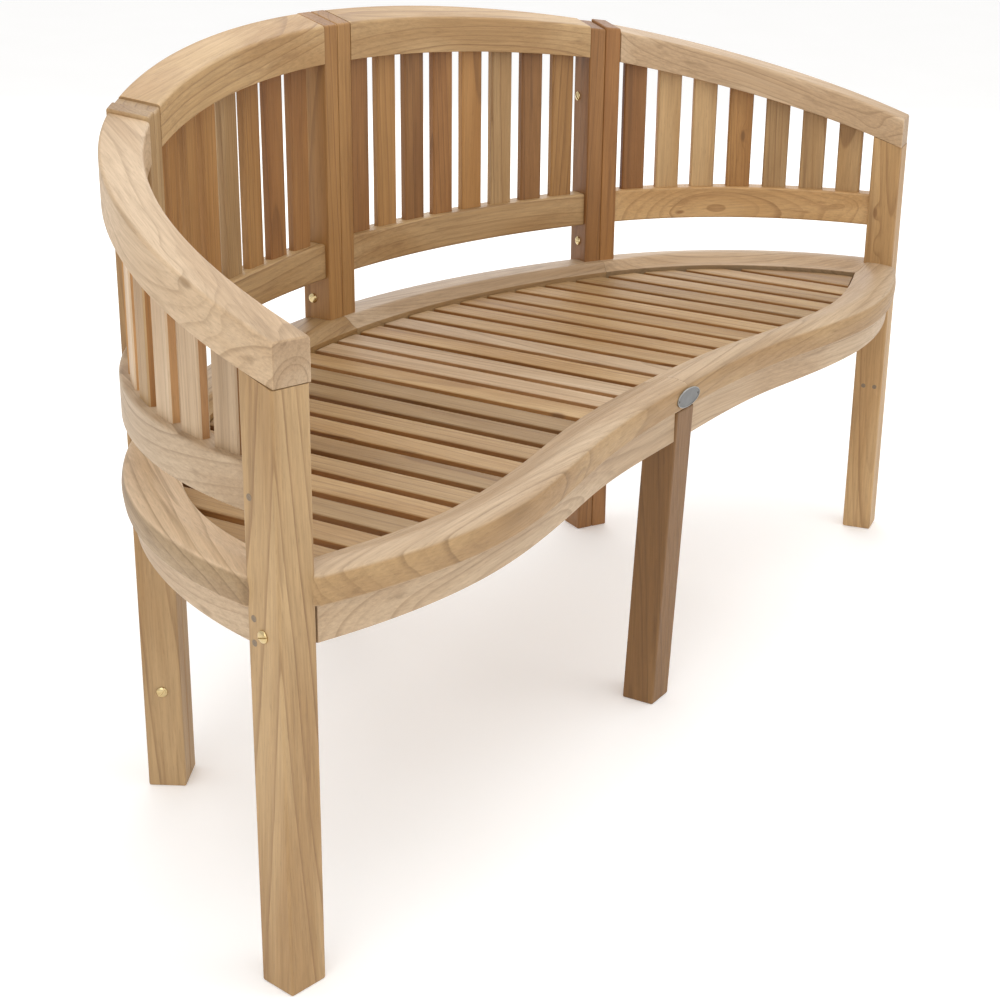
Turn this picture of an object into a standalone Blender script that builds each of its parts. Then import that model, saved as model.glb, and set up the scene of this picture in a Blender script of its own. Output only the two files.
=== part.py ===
import math

import bmesh
import bpy
from mathutils import Matrix, Vector

# Clearance between neighbouring pieces, and depth of the ends let into a joint
FIT = 0.0003
TENON_LENGTH = 0.012
SLAT_LET_IN = 0.013

# Plan: two back arcs meet in the middle, an arm arc carries on from each
BACK_RADIUS = 1.0006
BACK_SWEEP = math.radians(28.95)
ARM_RADIUS = 0.4702
ARM_SWEEP = math.radians(55.71)
LEG_TURN = math.radians(79.8)
BACK_LINE = 0.2769

# Posts and legs
LEG_SIZE = 0.0433
PAIR_POST_WIDTH = 0.0255
MIDDLE_POST_WIDTH = 0.0272
CENTRE_LEG_RAKE = 0.0448
CENTRE_LEG_SET_BACK = 0.001

# Curved top rail: heights of its outer edge, fall to its inner edge, and its depth
CREST_TOP = 0.8188
PAIR_TOP = 0.7758
ARM_TOP = 0.6542
ARM_SHARE = 0.726
CREST_FALL = 0.0134
PAIR_FALL = 0.0082
CREST_DEPTH = 0.0597
PAIR_DEPTH = 0.0512
ARM_DEPTH = 0.0427
RAIL_WIDTH = 0.0433

# Lower rail and the upright slats of the back and the arms
LOWER_TOP = 0.5298
LOWER_HEIGHT = 0.0464
LOWER_WIDTH = 0.030
BACK_SLATS = 8
BACK_SLAT_WIDTH = 0.0360
ARM_SLATS = 7
ARM_SLAT_WIDTH = 0.0360
SLAT_THICKNESS = 0.011

# Seat rim: height of its section, shares of that height, and widths from its outer edge
RIM_BOTTOM = 0.3944
RIM_HEIGHT = 0.0344
WIDEST_SHARE = 0.48
SHOULDER_SHARE = 0.86
LIP_SHARE = 0.63
RIM_UNDERCUT = 0.0085
RIM_SHOULDER_IN = 0.0055
FRONT_CREST = 0.024
BACK_CREST = 0.049
BACK_OVERHANG = 0.027
PAIR_OVERHANG = 0.018
LEG_OVERHANG = 0.0235
BACK_LIP = 0.0438
PAIR_LIP = 0.0424
SIDE_LIP = 0.0394
CORNER_LIP = 0.0425
CORNER_TURN_BACK = math.radians(3.5)

# Seat rim front: outer edge, lip and apron face ahead of the front leg line
FRONT_AT_CENTRE = 0.0411
FRONT_AT_WAIST = 0.0580
FRONT_AT_BULGE = 0.0880
FRONT_AT_LEG = 0.0244
LIP_AT_CENTRE = 0.0222
LIP_AT_WAIST = 0.0038
LIP_AT_BULGE = -0.0206
APRON_AT_CENTRE = 0.0350
APRON_AT_WAIST = 0.0459
APRON_AT_BULGE = 0.0698
APRON_AT_LEG = 0.0152
WAIST_X = 0.25
BULGE_X = 0.47

# Aprons under the rim
APRON_HEIGHT = 0.0385
APRON_THICKNESS = 0.020
APRON_OUTER = 0.016
APRON_FLATTENED = 0.0104

# Seat deck: slats front to back over a ledge and two bearers
LIP_ABOVE_SEAT = 0.006
SEAT_SLATS = 26
SEAT_PITCH = 0.0511
SEAT_SLOT = 0.0125
SEAT_SLAT_THICKNESS = 0.020
LEDGE_THICKNESS = 0.0130
LEDGE_OVERLAP = 0.0008
LEDGE_WIDTH = 0.013
SEAT_TONGUE = 0.008
TONGUE_STEP = 0.002
BEARER_WIDTH = 0.040
BEARER_HEIGHT = 0.032
BEARER_SET_BACK = 0.27

# Rounding of edges, and how finely the curves are divided
POST_ROUND = 0.0022
RAIL_ROUND = 0.0032
SLAT_ROUND = 0.0018
APRON_ROUND = 0.0020
RAIL_STEPS = 14
RIM_STEPS = 14
ROUND_STEPS = 2
REACH_ROUNDS = 8

RIGHT = 1
LEFT = -1
SIDES = (("right", RIGHT), ("left", LEFT))
PAIR_ANGLE = BACK_SWEEP
LEG_ANGLE = BACK_SWEEP + ARM_SWEEP
CORNER_ANGLE = LEG_ANGLE - CORNER_TURN_BACK
BACK_CENTRE = Vector((0.0, BACK_LINE - BACK_RADIUS))
PAIR_SPOT = BACK_CENTRE + BACK_RADIUS * Vector((math.sin(PAIR_ANGLE), math.cos(PAIR_ANGLE)))
ARM_CENTRE = PAIR_SPOT - ARM_RADIUS * Vector((math.sin(PAIR_ANGLE), math.cos(PAIR_ANGLE)))
LEG_SPOT = ARM_CENTRE + ARM_RADIUS * Vector((math.sin(LEG_ANGLE), math.cos(LEG_ANGLE)))
LEG_LINE = LEG_SPOT.y
CENTRE_LEG_Y = LEG_LINE + CENTRE_LEG_SET_BACK
RIM_CREST = RIM_BOTTOM + RIM_HEIGHT
RIM_WIDEST = RIM_BOTTOM + RIM_HEIGHT * WIDEST_SHARE
RIM_SHOULDER = RIM_BOTTOM + RIM_HEIGHT * SHOULDER_SHARE
RIM_LIP = RIM_BOTTOM + RIM_HEIGHT * LIP_SHARE
SEAT_TOP = RIM_LIP - LIP_ABOVE_SEAT
APRON_TOP = RIM_BOTTOM - FIT
APRON_BOTTOM = RIM_BOTTOM - APRON_HEIGHT
SLAT_BOTTOM = SEAT_TOP - SEAT_SLAT_THICKNESS
BEARER_TOP = SLAT_BOTTOM + LEDGE_OVERLAP
BEARER_Y = BACK_LINE - BEARER_SET_BACK
POST_REACH = 0.2


def clear_scene():
    for item in list(bpy.data.objects):
        bpy.data.objects.remove(item, do_unlink=True)


def new_collection(name):
    group = bpy.data.collections.new(name)
    bpy.context.scene.collection.children.link(group)
    return group


def wood(name, shade):
    material = bpy.data.materials.new(name)
    material.use_nodes = True
    shader = material.node_tree.nodes["Principled BSDF"]
    shader.inputs["Base Color"].default_value = (0.55 * shade, 0.36 * shade, 0.20 * shade, 1.0)
    shader.inputs["Roughness"].default_value = 0.55
    return material


def make(name, bm, shade=1.0, hidden=False):
    bm.normal_update()
    bmesh.ops.recalc_face_normals(bm, faces=bm.faces)
    mesh = bpy.data.meshes.new(name)
    bm.to_mesh(mesh)
    bm.free()
    piece = bpy.data.objects.new(name, mesh)
    if hidden:
        CUTTERS.objects.link(piece)
        piece.hide_render = True
        piece.display_type = "WIRE"
    else:
        BENCH.objects.link(piece)
        mesh.materials.append(wood(name + "_teak", shade))
    return piece


def round_edges(piece, width, steps=ROUND_STEPS):
    modifier = piece.modifiers.new("rounded_edges", "BEVEL")
    modifier.width = width
    modifier.segments = steps
    modifier.limit_method = "ANGLE"
    modifier.angle_limit = math.radians(40)


def combine(piece, other, operation):
    modifier = piece.modifiers.new(operation.lower() + "_" + other.name, "BOOLEAN")
    modifier.operation = operation
    modifier.solver = "EXACT"
    modifier.object = other


def cut(piece, other):
    combine(piece, other, "DIFFERENCE")


def join(piece, other):
    combine(piece, other, "UNION")


def arc_spot(angle, offset):
    """Plan position on the rail arcs, moved outward by an offset."""
    centre = BACK_CENTRE if angle <= PAIR_ANGLE else ARM_CENTRE
    radius = BACK_RADIUS if angle <= PAIR_ANGLE else ARM_RADIUS
    return centre + (radius + offset) * Vector((math.sin(angle), math.cos(angle)))


def local_spot(spot, angle, along, across):
    """Plan position beside a spot: along the arc and across it."""
    forward = Vector((math.cos(angle), -math.sin(angle)))
    outward = Vector((math.sin(angle), math.cos(angle)))
    return spot + along * forward + across * outward


def box_matrix(side, spot, angle, low, high, size):
    place = Matrix.Translation((side * spot.x, spot.y, (low + high) / 2))
    turn = Matrix.Rotation(-side * angle, 4, "Z")
    scale = Matrix.Diagonal((size[0], size[1], high - low, 1.0))
    return place @ turn @ scale


def add_boxes(name, matrices, hidden=True):
    bm = bmesh.new()
    for matrix in matrices:
        bmesh.ops.create_cube(bm, size=1.0, matrix=matrix)
    return make(name, bm, hidden=hidden)


def grow(entry, amount):
    """The same box, larger on every side, for the hole that takes it."""
    side, spot, angle, low, high, size = entry
    wider = (size[0] + 2 * amount, size[1] + 2 * amount)
    return side, spot, angle, low - amount, high + amount, wider


def loft(name, rings, shade=1.0, hidden=False):
    """A solid through rings of points of one length, closed at both ends."""
    bm = bmesh.new()
    rows = [[bm.verts.new(point) for point in ring] for ring in rings]
    count = len(rows[0])
    for row, following in zip(rows, rows[1:]):
        for index in range(count):
            after = (index + 1) % count
            bm.faces.new((row[index], row[after], following[after], following[index]))
    bm.faces.new(rows[0])
    bm.faces.new(rows[-1])
    return make(name, bm, shade, hidden)


def steps_between(start, end, steps):
    return [start + (end - start) * index / steps for index in range(steps + 1)]


def arm_share(angle):
    return max(0.0, (angle - PAIR_ANGLE) / ARM_SWEEP)


def outer_top(angle):
    """Height of the outer edge of the top rail."""
    if angle <= PAIR_ANGLE:
        return CREST_TOP - (CREST_TOP - PAIR_TOP) * (angle / PAIR_ANGLE) ** 2
    share = arm_share(angle)
    return PAIR_TOP - (PAIR_TOP - ARM_TOP) * (ARM_SHARE * share + (1 - ARM_SHARE) * share ** 2)


def inner_top(angle):
    """Height of the inner edge of the top rail, below the outer one."""
    if angle <= PAIR_ANGLE:
        fall = CREST_FALL - (CREST_FALL - PAIR_FALL) * (angle / PAIR_ANGLE) ** 2
        return outer_top(angle) - fall
    return outer_top(angle) - PAIR_FALL * max(0.0, 1 - arm_share(angle) ** 2)


def rail_under(angle):
    """Height of the underside of the top rail."""
    if angle <= PAIR_ANGLE:
        depth = CREST_DEPTH - (CREST_DEPTH - PAIR_DEPTH) * (angle / PAIR_ANGLE) ** 2
        return outer_top(angle) - depth
    depth = PAIR_DEPTH + (ARM_DEPTH - PAIR_DEPTH) * arm_share(angle) ** 2
    return outer_top(angle) - depth


def point(side, spot, height):
    return (side * spot.x, spot.y, height)


def post_block(side, spot, angle, width, grown=0.0, top=None):
    """A post from the floor; its top follows the top rail, or is level at a given height."""
    bm = bmesh.new()
    half_along = width / 2 + grown
    half_across = LEG_SIZE / 2 + grown
    bmesh.ops.create_cube(bm, size=1.0)
    for vert in bm.verts:
        along = math.copysign(half_along, vert.co.x)
        across = math.copysign(half_across, vert.co.y)
        place = local_spot(spot, angle, along, across)
        if vert.co.z < 0:
            height = -grown
        elif top is not None:
            height = top
        else:
            reach = angle + along / (BACK_RADIUS if angle <= PAIR_ANGLE else ARM_RADIUS)
            height = outer_top(reach) if across > 0 else inner_top(reach)
        vert.co = (side * place.x, place.y, height)
    return bm


def envelope(name, side, spot, angle, width):
    """The room that a post takes, with its clearance, to cut out of its neighbours."""
    return make(name, post_block(side, spot, angle, width, FIT, CREST_TOP + POST_REACH), hidden=True)


def rail_ring(side, angle, offset_in, offset_out, bottom, top_in, top_out):
    inner = arc_spot(angle, offset_in)
    outer = arc_spot(angle, offset_out)
    return [
        point(side, inner, bottom),
        point(side, outer, bottom),
        point(side, outer, top_out),
        point(side, inner, top_in),
    ]


def panel_seats(side, panel):
    """Where a panel's posts stand: spot, angle and width of its two posts."""
    if panel == "back":
        first = (local_spot(Vector((0.0, BACK_LINE)), 0.0, (MIDDLE_POST_WIDTH + FIT) / 2, 0.0), 0.0,
                 MIDDLE_POST_WIDTH)
        second = (local_spot(PAIR_SPOT, PAIR_ANGLE, -(PAIR_POST_WIDTH + FIT) / 2, 0.0), PAIR_ANGLE,
                  PAIR_POST_WIDTH)
    else:
        first = (local_spot(PAIR_SPOT, PAIR_ANGLE, (PAIR_POST_WIDTH + FIT) / 2, 0.0), PAIR_ANGLE,
                 PAIR_POST_WIDTH)
        second = (LEG_SPOT, LEG_TURN, LEG_SIZE)
    return first, second


def panel_angles(panel):
    """Angles of the clear opening of a panel between its posts."""
    if panel == "back":
        start = MIDDLE_POST_WIDTH / BACK_RADIUS
        return start, PAIR_ANGLE - PAIR_POST_WIDTH / BACK_RADIUS
    start = PAIR_ANGLE + PAIR_POST_WIDTH / ARM_RADIUS
    return start, LEG_ANGLE - LEG_SIZE / 2 / ARM_RADIUS


def tenon_entry(side, seat, toward, low, high, across, width):
    """A tenon through the face of a post; toward is +1 on its arm side, -1 on the other."""
    spot, angle, post_width = seat
    centre = local_spot(spot, angle, toward * (post_width / 2 - TENON_LENGTH / 4), across)
    return side, centre, angle, low, high, (1.5 * TENON_LENGTH, width)


def slat_entries(side, panel):
    """The upright slats of a panel, evenly spaced between its posts."""
    back = panel == "back"
    radius = BACK_RADIUS if back else ARM_RADIUS
    count = BACK_SLATS if back else ARM_SLATS
    width = BACK_SLAT_WIDTH if back else ARM_SLAT_WIDTH
    start, end = panel_angles(panel)
    gap = ((end - start) * radius - count * width) / (count + 1)
    entries = []
    for index in range(count):
        angle = start + (gap + width / 2 + index * (gap + width)) / radius
        low = LOWER_TOP - SLAT_LET_IN
        high = rail_under(angle) + SLAT_LET_IN
        entries.append((side, arc_spot(angle, 0.0), angle, low, high, (width, SLAT_THICKNESS)))
    return entries


def build_slats(side_name, side, panel):
    for index, entry in enumerate(slat_entries(side, panel)):
        name = f"{side_name}_{panel}_slat_{index + 1}"
        matrix = box_matrix(*entry)
        bm = bmesh.new()
        bmesh.ops.create_cube(bm, size=1.0, matrix=matrix)
        uprights = [edge for edge in bm.edges
                    if abs(edge.verts[0].co.z - edge.verts[1].co.z) > SLAT_LET_IN]
        bmesh.ops.bevel(bm, geom=uprights, offset=SLAT_ROUND, segments=1, affect="EDGES")
        make(name, bm, 0.86)


def slat_holes(name, side, panel):
    return add_boxes(name, [box_matrix(*grow(entry, FIT)) for entry in slat_entries(side, panel)])


def rail_tenons(side, panel, low_high, across, width):
    """Tenons of a member at both ends of a panel; low_high gives heights for an end."""
    first, second = panel_seats(side, panel)
    entries = [tenon_entry(side, first, 1, *low_high(0), across, width)]
    entries.append(tenon_entry(side, second, -1, *low_high(1), across, width))
    return entries


def top_rail_angles(panel):
    """Stations of a top rail, from inside one post to inside the next or past the front leg."""
    if panel == "back":
        start = MIDDLE_POST_WIDTH / 2 / BACK_RADIUS
        end = PAIR_ANGLE - PAIR_POST_WIDTH / 2 / BACK_RADIUS
    else:
        start = PAIR_ANGLE + PAIR_POST_WIDTH / 2 / ARM_RADIUS
        end = LEG_ANGLE + LEG_SIZE / ARM_RADIUS
    return steps_between(start, end, RAIL_STEPS)


def build_top_rail(side_name, side, panel):
    name = f"{side_name}_{panel}_top_rail"
    first, second = panel_seats(side, panel)
    half = RAIL_WIDTH / 2
    rings = [rail_ring(side, angle, -half, half, rail_under(angle), inner_top(angle), outer_top(angle))
             for angle in top_rail_angles(panel)]
    rail = loft(name, rings, 1.05)
    round_edges(rail, RAIL_ROUND)
    cut(rail, envelope(name + "_post_room", side, *first))
    if panel == "back":
        cut(rail, envelope(name + "_far_post_room", side, *second))
    else:
        trim_spot = local_spot(LEG_SPOT, LEG_TURN, LEG_SIZE / 2 + POST_REACH / 2, 0.0)
        trim = (side, trim_spot, LEG_TURN, ARM_TOP - POST_REACH, ARM_TOP + POST_REACH,
                (POST_REACH, POST_REACH))
        cut(rail, add_boxes(name + "_front_trim", [box_matrix(*trim)]))
    holes = [box_matrix(*grow(entry, FIT)) for entry in slat_entries(side, panel)]
    if panel == "arm":
        holes.append(box_matrix(*grow(leg_tenon(side), FIT)))
    cut(rail, add_boxes(name + "_mortises", holes))
    tenons = top_tenons(side, panel)
    join(rail, add_boxes(name + "_tenons", [box_matrix(*entry) for entry in tenons]))


def top_tenons(side, panel):
    """Tenons of a top rail into its posts; the arm rail lies on the front leg instead."""
    first, second = panel_seats(side, panel)
    start, end = panel_angles(panel)
    width = RAIL_WIDTH / 2.4
    margin = ARM_DEPTH / 4
    entries = [tenon_entry(side, first, 1, rail_under(start) + margin, inner_top(start) - margin,
                           0.0, width)]
    if panel == "back":
        entries.append(tenon_entry(side, second, -1, rail_under(end) + margin,
                                   inner_top(end) - margin, 0.0, width))
    return entries


def leg_tenon(side):
    """Stub on top of the front leg that goes up into the arm rail."""
    under = rail_under(LEG_ANGLE)
    size = (LEG_SIZE / 2, LEG_SIZE / 2)
    return side, LEG_SPOT, LEG_TURN, under - ARM_DEPTH / 2, under + ARM_DEPTH / 2, size


def lower_tenons(side, panel):
    margin = LOWER_HEIGHT / 5
    low = LOWER_TOP - LOWER_HEIGHT + margin
    high = LOWER_TOP - margin
    return rail_tenons(side, panel, lambda end: (low, high), 0.0, LOWER_WIDTH / 2)


def build_lower_rail(side_name, side, panel):
    name = f"{side_name}_{panel}_lower_rail"
    first, second = panel_seats(side, panel)
    radius = BACK_RADIUS if panel == "back" else ARM_RADIUS
    start, end = panel_angles(panel)
    bottom = LOWER_TOP - LOWER_HEIGHT
    half = LOWER_WIDTH / 2
    rings = [rail_ring(side, angle, -half, half, bottom, LOWER_TOP, LOWER_TOP)
             for angle in steps_between(start - first[2] / 2 / radius, end + second[2] / 2 / radius,
                                        RAIL_STEPS)]
    rail = loft(name, rings, 0.95)
    round_edges(rail, RAIL_ROUND)
    cut(rail, envelope(name + "_post_room", side, *first))
    cut(rail, envelope(name + "_far_post_room", side, *second))
    cut(rail, slat_holes(name + "_mortises", side, panel))
    join(rail, add_boxes(name + "_tenons", [box_matrix(*entry) for entry in lower_tenons(side, panel)]))


def hermite(value, knots):
    """A smooth curve through knots of place, height and slope."""
    for (x0, y0, m0), (x1, y1, m1) in zip(knots, knots[1:]):
        if value <= x1:
            break
    span = x1 - x0
    t = (value - x0) / span
    blend = t * t * (3 - 2 * t)
    rise = t * (1 - t) * ((1 - t) * m0 - t * m1) * span
    return y0 + (y1 - y0) * blend + rise


def front_outer(x):
    knots = ((0.0, FRONT_AT_CENTRE, 0.0), (WAIST_X, FRONT_AT_WAIST, 0.159),
             (BULGE_X, FRONT_AT_BULGE, 0.0), (LEG_SPOT.x, FRONT_AT_LEG, -0.45))
    return LEG_LINE - hermite(x, knots)


def front_lip(x):
    knots = ((0.0, LIP_AT_CENTRE, 0.0), (WAIST_X, LIP_AT_WAIST, -0.180),
             (BULGE_X, LIP_AT_BULGE, 0.0), (LIP_CORNER.x, LIP_CORNER.y - LEG_LINE, 0.30))
    return LEG_LINE + hermite(x, knots)


def front_apron(x):
    knots = ((0.0, APRON_AT_CENTRE, 0.0), (WAIST_X, APRON_AT_WAIST, 0.156),
             (BULGE_X, APRON_AT_BULGE, 0.0), (LEG_SPOT.x, APRON_AT_LEG, -0.41))
    return LEG_LINE - hermite(x, knots)


def lip_offset(angle):
    """Distance of the rim's lip inside the rail arcs."""
    middle = (PAIR_ANGLE + CORNER_ANGLE) / 2
    knots = ((0.0, BACK_LIP, 0.0), (PAIR_ANGLE, PAIR_LIP, 0.0), (middle, SIDE_LIP, 0.0),
             (CORNER_ANGLE, CORNER_LIP, 0.01))
    return hermite(angle, knots)


def outer_offset(angle):
    """Distance of the rim's widest edge outside the rail arcs."""
    return hermite(angle, ((0.0, BACK_OVERHANG, 0.0), (PAIR_ANGLE, PAIR_OVERHANG, 0.0),
                           (LEG_ANGLE, LEG_OVERHANG, -0.01)))


LIP_CORNER = arc_spot(CORNER_ANGLE, -lip_offset(CORNER_ANGLE))


def rim_ring(side, outer, lip, crest):
    """Section of the seat rim between its outer edge and its dished inner lip."""
    across = lip - outer
    width = across.length
    inward = across / width
    profile = [
        (RIM_UNDERCUT, RIM_BOTTOM),
        (RIM_UNDERCUT * 0.4, RIM_BOTTOM + (RIM_WIDEST - RIM_BOTTOM) * 0.45),
        (0.0, RIM_WIDEST),
        (RIM_SHOULDER_IN * 0.3, RIM_WIDEST + (RIM_SHOULDER - RIM_WIDEST) * 0.6),
        (RIM_SHOULDER_IN, RIM_SHOULDER),
        (RIM_SHOULDER_IN + (crest - RIM_SHOULDER_IN) * 0.4, RIM_CREST - (RIM_CREST - RIM_SHOULDER) * 0.3),
        (crest, RIM_CREST),
    ]
    dish = width - crest
    for share in (0.2, 0.4, 0.6, 0.8, 0.95):
        drop = (1 - math.cos(math.pi * share)) / 2
        profile.append((crest + dish * share, RIM_CREST - (RIM_CREST - RIM_LIP) * drop))
    profile.append((width, RIM_LIP - 0.1 * (RIM_CREST - RIM_LIP)))
    profile.append((width, RIM_BOTTOM))
    return [point(side, outer + inward * inset, height) for inset, height in profile]


def seat_outline(margin):
    """Outline of the opening inside the rim's lip, moved outward by a margin."""
    right = []
    for x in steps_between(0.0, LIP_CORNER.x, RIM_STEPS)[:-1]:
        ahead = front_lip(x + FIT) - front_lip(x)
        outward = Vector((ahead, -FIT)).normalized()
        right.append(Vector((x, front_lip(x))) + margin * outward)
    corner_angle = (CORNER_ANGLE + math.pi) / 2
    right.append(LIP_CORNER + margin * Vector((math.sin(corner_angle), math.cos(corner_angle))))
    for angle in steps_between(CORNER_ANGLE, PAIR_ANGLE, RIM_STEPS)[1:-1]:
        right.append(arc_spot(angle, margin - lip_offset(angle)))
    for angle in steps_between(PAIR_ANGLE, 0.0, RIM_STEPS):
        right.append(arc_spot(angle, margin - lip_offset(angle)))
    left = [Vector((-spot.x, spot.y)) for spot in reversed(right[1:-1])]
    return right + left


def plate(name, outline, low, high, hole=None, hidden=True):
    """A flat plate over an outline, with an optional hole outline of as many points."""
    bm = bmesh.new()
    rings = []
    for height in (low, high):
        rings.append([bm.verts.new((spot.x, spot.y, height)) for spot in outline])
    count = len(outline)
    if hole is None:
        bm.faces.new(rings[0])
        bm.faces.new(rings[1])
        borders = [rings]
    else:
        inner = []
        for height in (low, high):
            inner.append([bm.verts.new((spot.x, spot.y, height)) for spot in hole])
        borders = [rings, inner]
    for lower, upper in borders:
        for index in range(count):
            after = (index + 1) % count
            bm.faces.new((lower[index], lower[after], upper[after], upper[index]))
    if hole is not None:
        for level in (0, 1):
            for index in range(count):
                after = (index + 1) % count
                bm.faces.new((rings[level][index], rings[level][after],
                              inner[level][after], inner[level][index]))
    return make(name, bm, 0.9, hidden)


def rim_rebate(name):
    """Room for the ends of the seat slats under the rim's lip."""
    high = SEAT_TOP - TONGUE_STEP + FIT
    return plate(name, seat_outline(SEAT_TONGUE + FIT), SLAT_BOTTOM - LEDGE_THICKNESS, high)


def mitre_ring(side, shift):
    """Section where the front and side rims meet, from inside the leg to the lip's corner."""
    return rim_ring(side, LEG_SPOT + shift, LIP_CORNER + shift, FRONT_CREST)


def build_front_rim(side_name, side):
    name = f"{side_name}_front_rim"
    rings = []
    reach = local_spot(LEG_SPOT, LEG_TURN, LEG_SIZE / 2, -LEG_SIZE / 2).x
    end = LIP_CORNER.x - FIT
    for share in steps_between(0.0, 1.0, 2 * RIM_STEPS):
        x_out = FIT / 2 + (reach - FIT / 2) * share
        x_lip = FIT / 2 + (end - LEG_SIZE / 4 - FIT / 2) * share
        rings.append(rim_ring(side, Vector((x_out, front_outer(x_out))),
                              Vector((x_lip, front_lip(x_lip))), FRONT_CREST))
    rings.append(mitre_ring(side, Vector((0.0, -FIT / 2))))
    rim = loft(name, rings, 1.1)
    cut(rim, envelope(name + "_leg_room", side, LEG_SPOT, LEG_TURN, LEG_SIZE))
    cut(rim, rim_rebate(name + "_rebate"))


def build_side_rim(side_name, side):
    name = f"{side_name}_side_rim"
    rings = []
    start = PAIR_ANGLE + FIT / 2 / ARM_RADIUS
    end = LEG_ANGLE - LEG_SIZE / 2 / ARM_RADIUS
    lip_end = CORNER_ANGLE - LEG_SIZE / 4 / ARM_RADIUS
    for share in steps_between(0.0, 1.0, RIM_STEPS):
        angle = start + (end - start) * share
        lip_angle = start + (lip_end - start) * share
        crest = BACK_CREST + (FRONT_CREST - BACK_CREST) * min(1.0, 3 * share)
        outer = arc_spot(angle, outer_offset(angle))
        rings.append(rim_ring(side, outer, arc_spot(lip_angle, -lip_offset(lip_angle)), crest))
    rings.append(mitre_ring(side, Vector((0.0, FIT / 2))))
    rim = loft(name, rings, 1.1)
    first, second = panel_seats(side, "arm")
    cut(rim, envelope(name + "_post_room", side, *first))
    cut(rim, envelope(name + "_leg_room", side, *second))
    cut(rim, rim_rebate(name + "_rebate"))


def build_back_rim(side_name, side):
    name = f"{side_name}_back_rim"
    rings = []
    start = FIT / 2 / BACK_RADIUS
    end = PAIR_ANGLE - FIT / 2 / BACK_RADIUS
    for angle in steps_between(start, end, RIM_STEPS):
        outer = arc_spot(angle, outer_offset(angle))
        rings.append(rim_ring(side, outer, arc_spot(angle, -lip_offset(angle)), BACK_CREST))
    rim = loft(name, rings, 1.1)
    first, second = panel_seats(side, "back")
    cut(rim, envelope(name + "_post_room", side, *first))
    cut(rim, envelope(name + "_far_post_room", side, *second))
    cut(rim, rim_rebate(name + "_rebate"))


def apron_ring(side, outer, inner):
    return [point(side, outer, APRON_BOTTOM), point(side, outer, APRON_TOP),
            point(side, inner, APRON_TOP), point(side, inner, APRON_BOTTOM)]


def apron_heights(end):
    return APRON_BOTTOM + APRON_HEIGHT / 5, APRON_TOP - APRON_HEIGHT / 5


def apron_across():
    return APRON_OUTER - APRON_THICKNESS / 2


def apron_offset(angle):
    """Distance of an apron's face outside the rail arcs; the side one curves less than the arm."""
    share = arm_share(angle)
    return APRON_OUTER - APRON_FLATTENED * 4 * share * (1 - share)


def apron_tenons(side, panel):
    return rail_tenons(side, panel, apron_heights, apron_across(), APRON_THICKNESS / 2)


def build_curved_apron(side_name, side, panel):
    """Apron along the back or along the side, between the posts of that panel."""
    name = f"{side_name}_{'back' if panel == 'back' else 'side'}_apron"
    first, second = panel_seats(side, panel)
    radius = BACK_RADIUS if panel == "back" else ARM_RADIUS
    start, end = panel_angles(panel)
    rings = [apron_ring(side, arc_spot(angle, apron_offset(angle)),
                        arc_spot(angle, apron_offset(angle) - APRON_THICKNESS))
             for angle in steps_between(start - first[2] / 2 / radius, end + second[2] / 2 / radius,
                                        RAIL_STEPS)]
    apron = loft(name, rings, 0.9)
    round_edges(apron, APRON_ROUND, 1)
    cut(apron, envelope(name + "_post_room", side, *first))
    cut(apron, envelope(name + "_far_post_room", side, *second))
    if panel == "arm":
        cut(apron, add_boxes(name + "_bearer_room", [box_matrix(*grow(bearer_tenon(), FIT))]))
    join(apron, add_boxes(name + "_tenons", [box_matrix(*entry) for entry in apron_tenons(side, panel)]))


def front_tenons(side):
    """Tenons of a front apron into the centre leg and the front leg."""
    low, high = apron_heights(0)
    centre = Vector((LEG_SIZE / 2, (front_apron(LEG_SIZE / 2) + APRON_THICKNESS / 2)))
    entries = [(side, centre, 0.0, low, high, (2 * TENON_LENGTH, APRON_THICKNESS / 2))]
    inner_face = local_spot(LEG_SPOT, LEG_TURN, LEG_SIZE / 4, -LEG_SIZE / 2)
    entries.append((side, inner_face, LEG_TURN, low, high, (APRON_THICKNESS / 2, 2 * TENON_LENGTH)))
    return entries


def build_front_apron(side_name, side):
    name = f"{side_name}_front_apron"
    rings = []
    for x in steps_between(LEG_SIZE / 4, LEG_SPOT.x - LEG_SIZE / 4, 2 * RAIL_STEPS):
        outer = Vector((x, front_apron(x)))
        rings.append(apron_ring(side, outer, outer + Vector((0.0, APRON_THICKNESS))))
    apron = loft(name, rings, 0.9)
    round_edges(apron, APRON_ROUND, 1)
    cut(apron, envelope(name + "_leg_room", side, LEG_SPOT, LEG_TURN, LEG_SIZE))
    cut(apron, make(name + "_centre_leg_room", centre_leg_block(FIT), hidden=True))
    join(apron, add_boxes(name + "_tenons", [box_matrix(*entry) for entry in front_tenons(side)]))


def post_mortises(name, entries):
    return add_boxes(name, [box_matrix(*grow(entry, FIT)) for entry in entries])


def build_post(name, side, seat, entries):
    spot, angle, width = seat
    post = make(name, post_block(side, spot, angle, width), 0.98)
    round_edges(post, POST_ROUND)
    cut(post, post_mortises(name + "_mortises", entries))


def build_panel_posts(side_name, side):
    middle, back_pair = panel_seats(side, "back")
    arm_pair, _ = panel_seats(side, "arm")
    back_entries = list(zip(top_tenons(side, "back"), lower_tenons(side, "back"),
                            apron_tenons(side, "back")))
    build_post(f"{side_name}_middle_post", side, middle, list(back_entries[0]))
    build_post(f"{side_name}_back_pair_post", side, back_pair, list(back_entries[1]))
    arm_entries = [top_tenons(side, "arm")[0], lower_tenons(side, "arm")[0],
                   apron_tenons(side, "arm")[0]]
    build_post(f"{side_name}_arm_pair_post", side, arm_pair, arm_entries)


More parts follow.
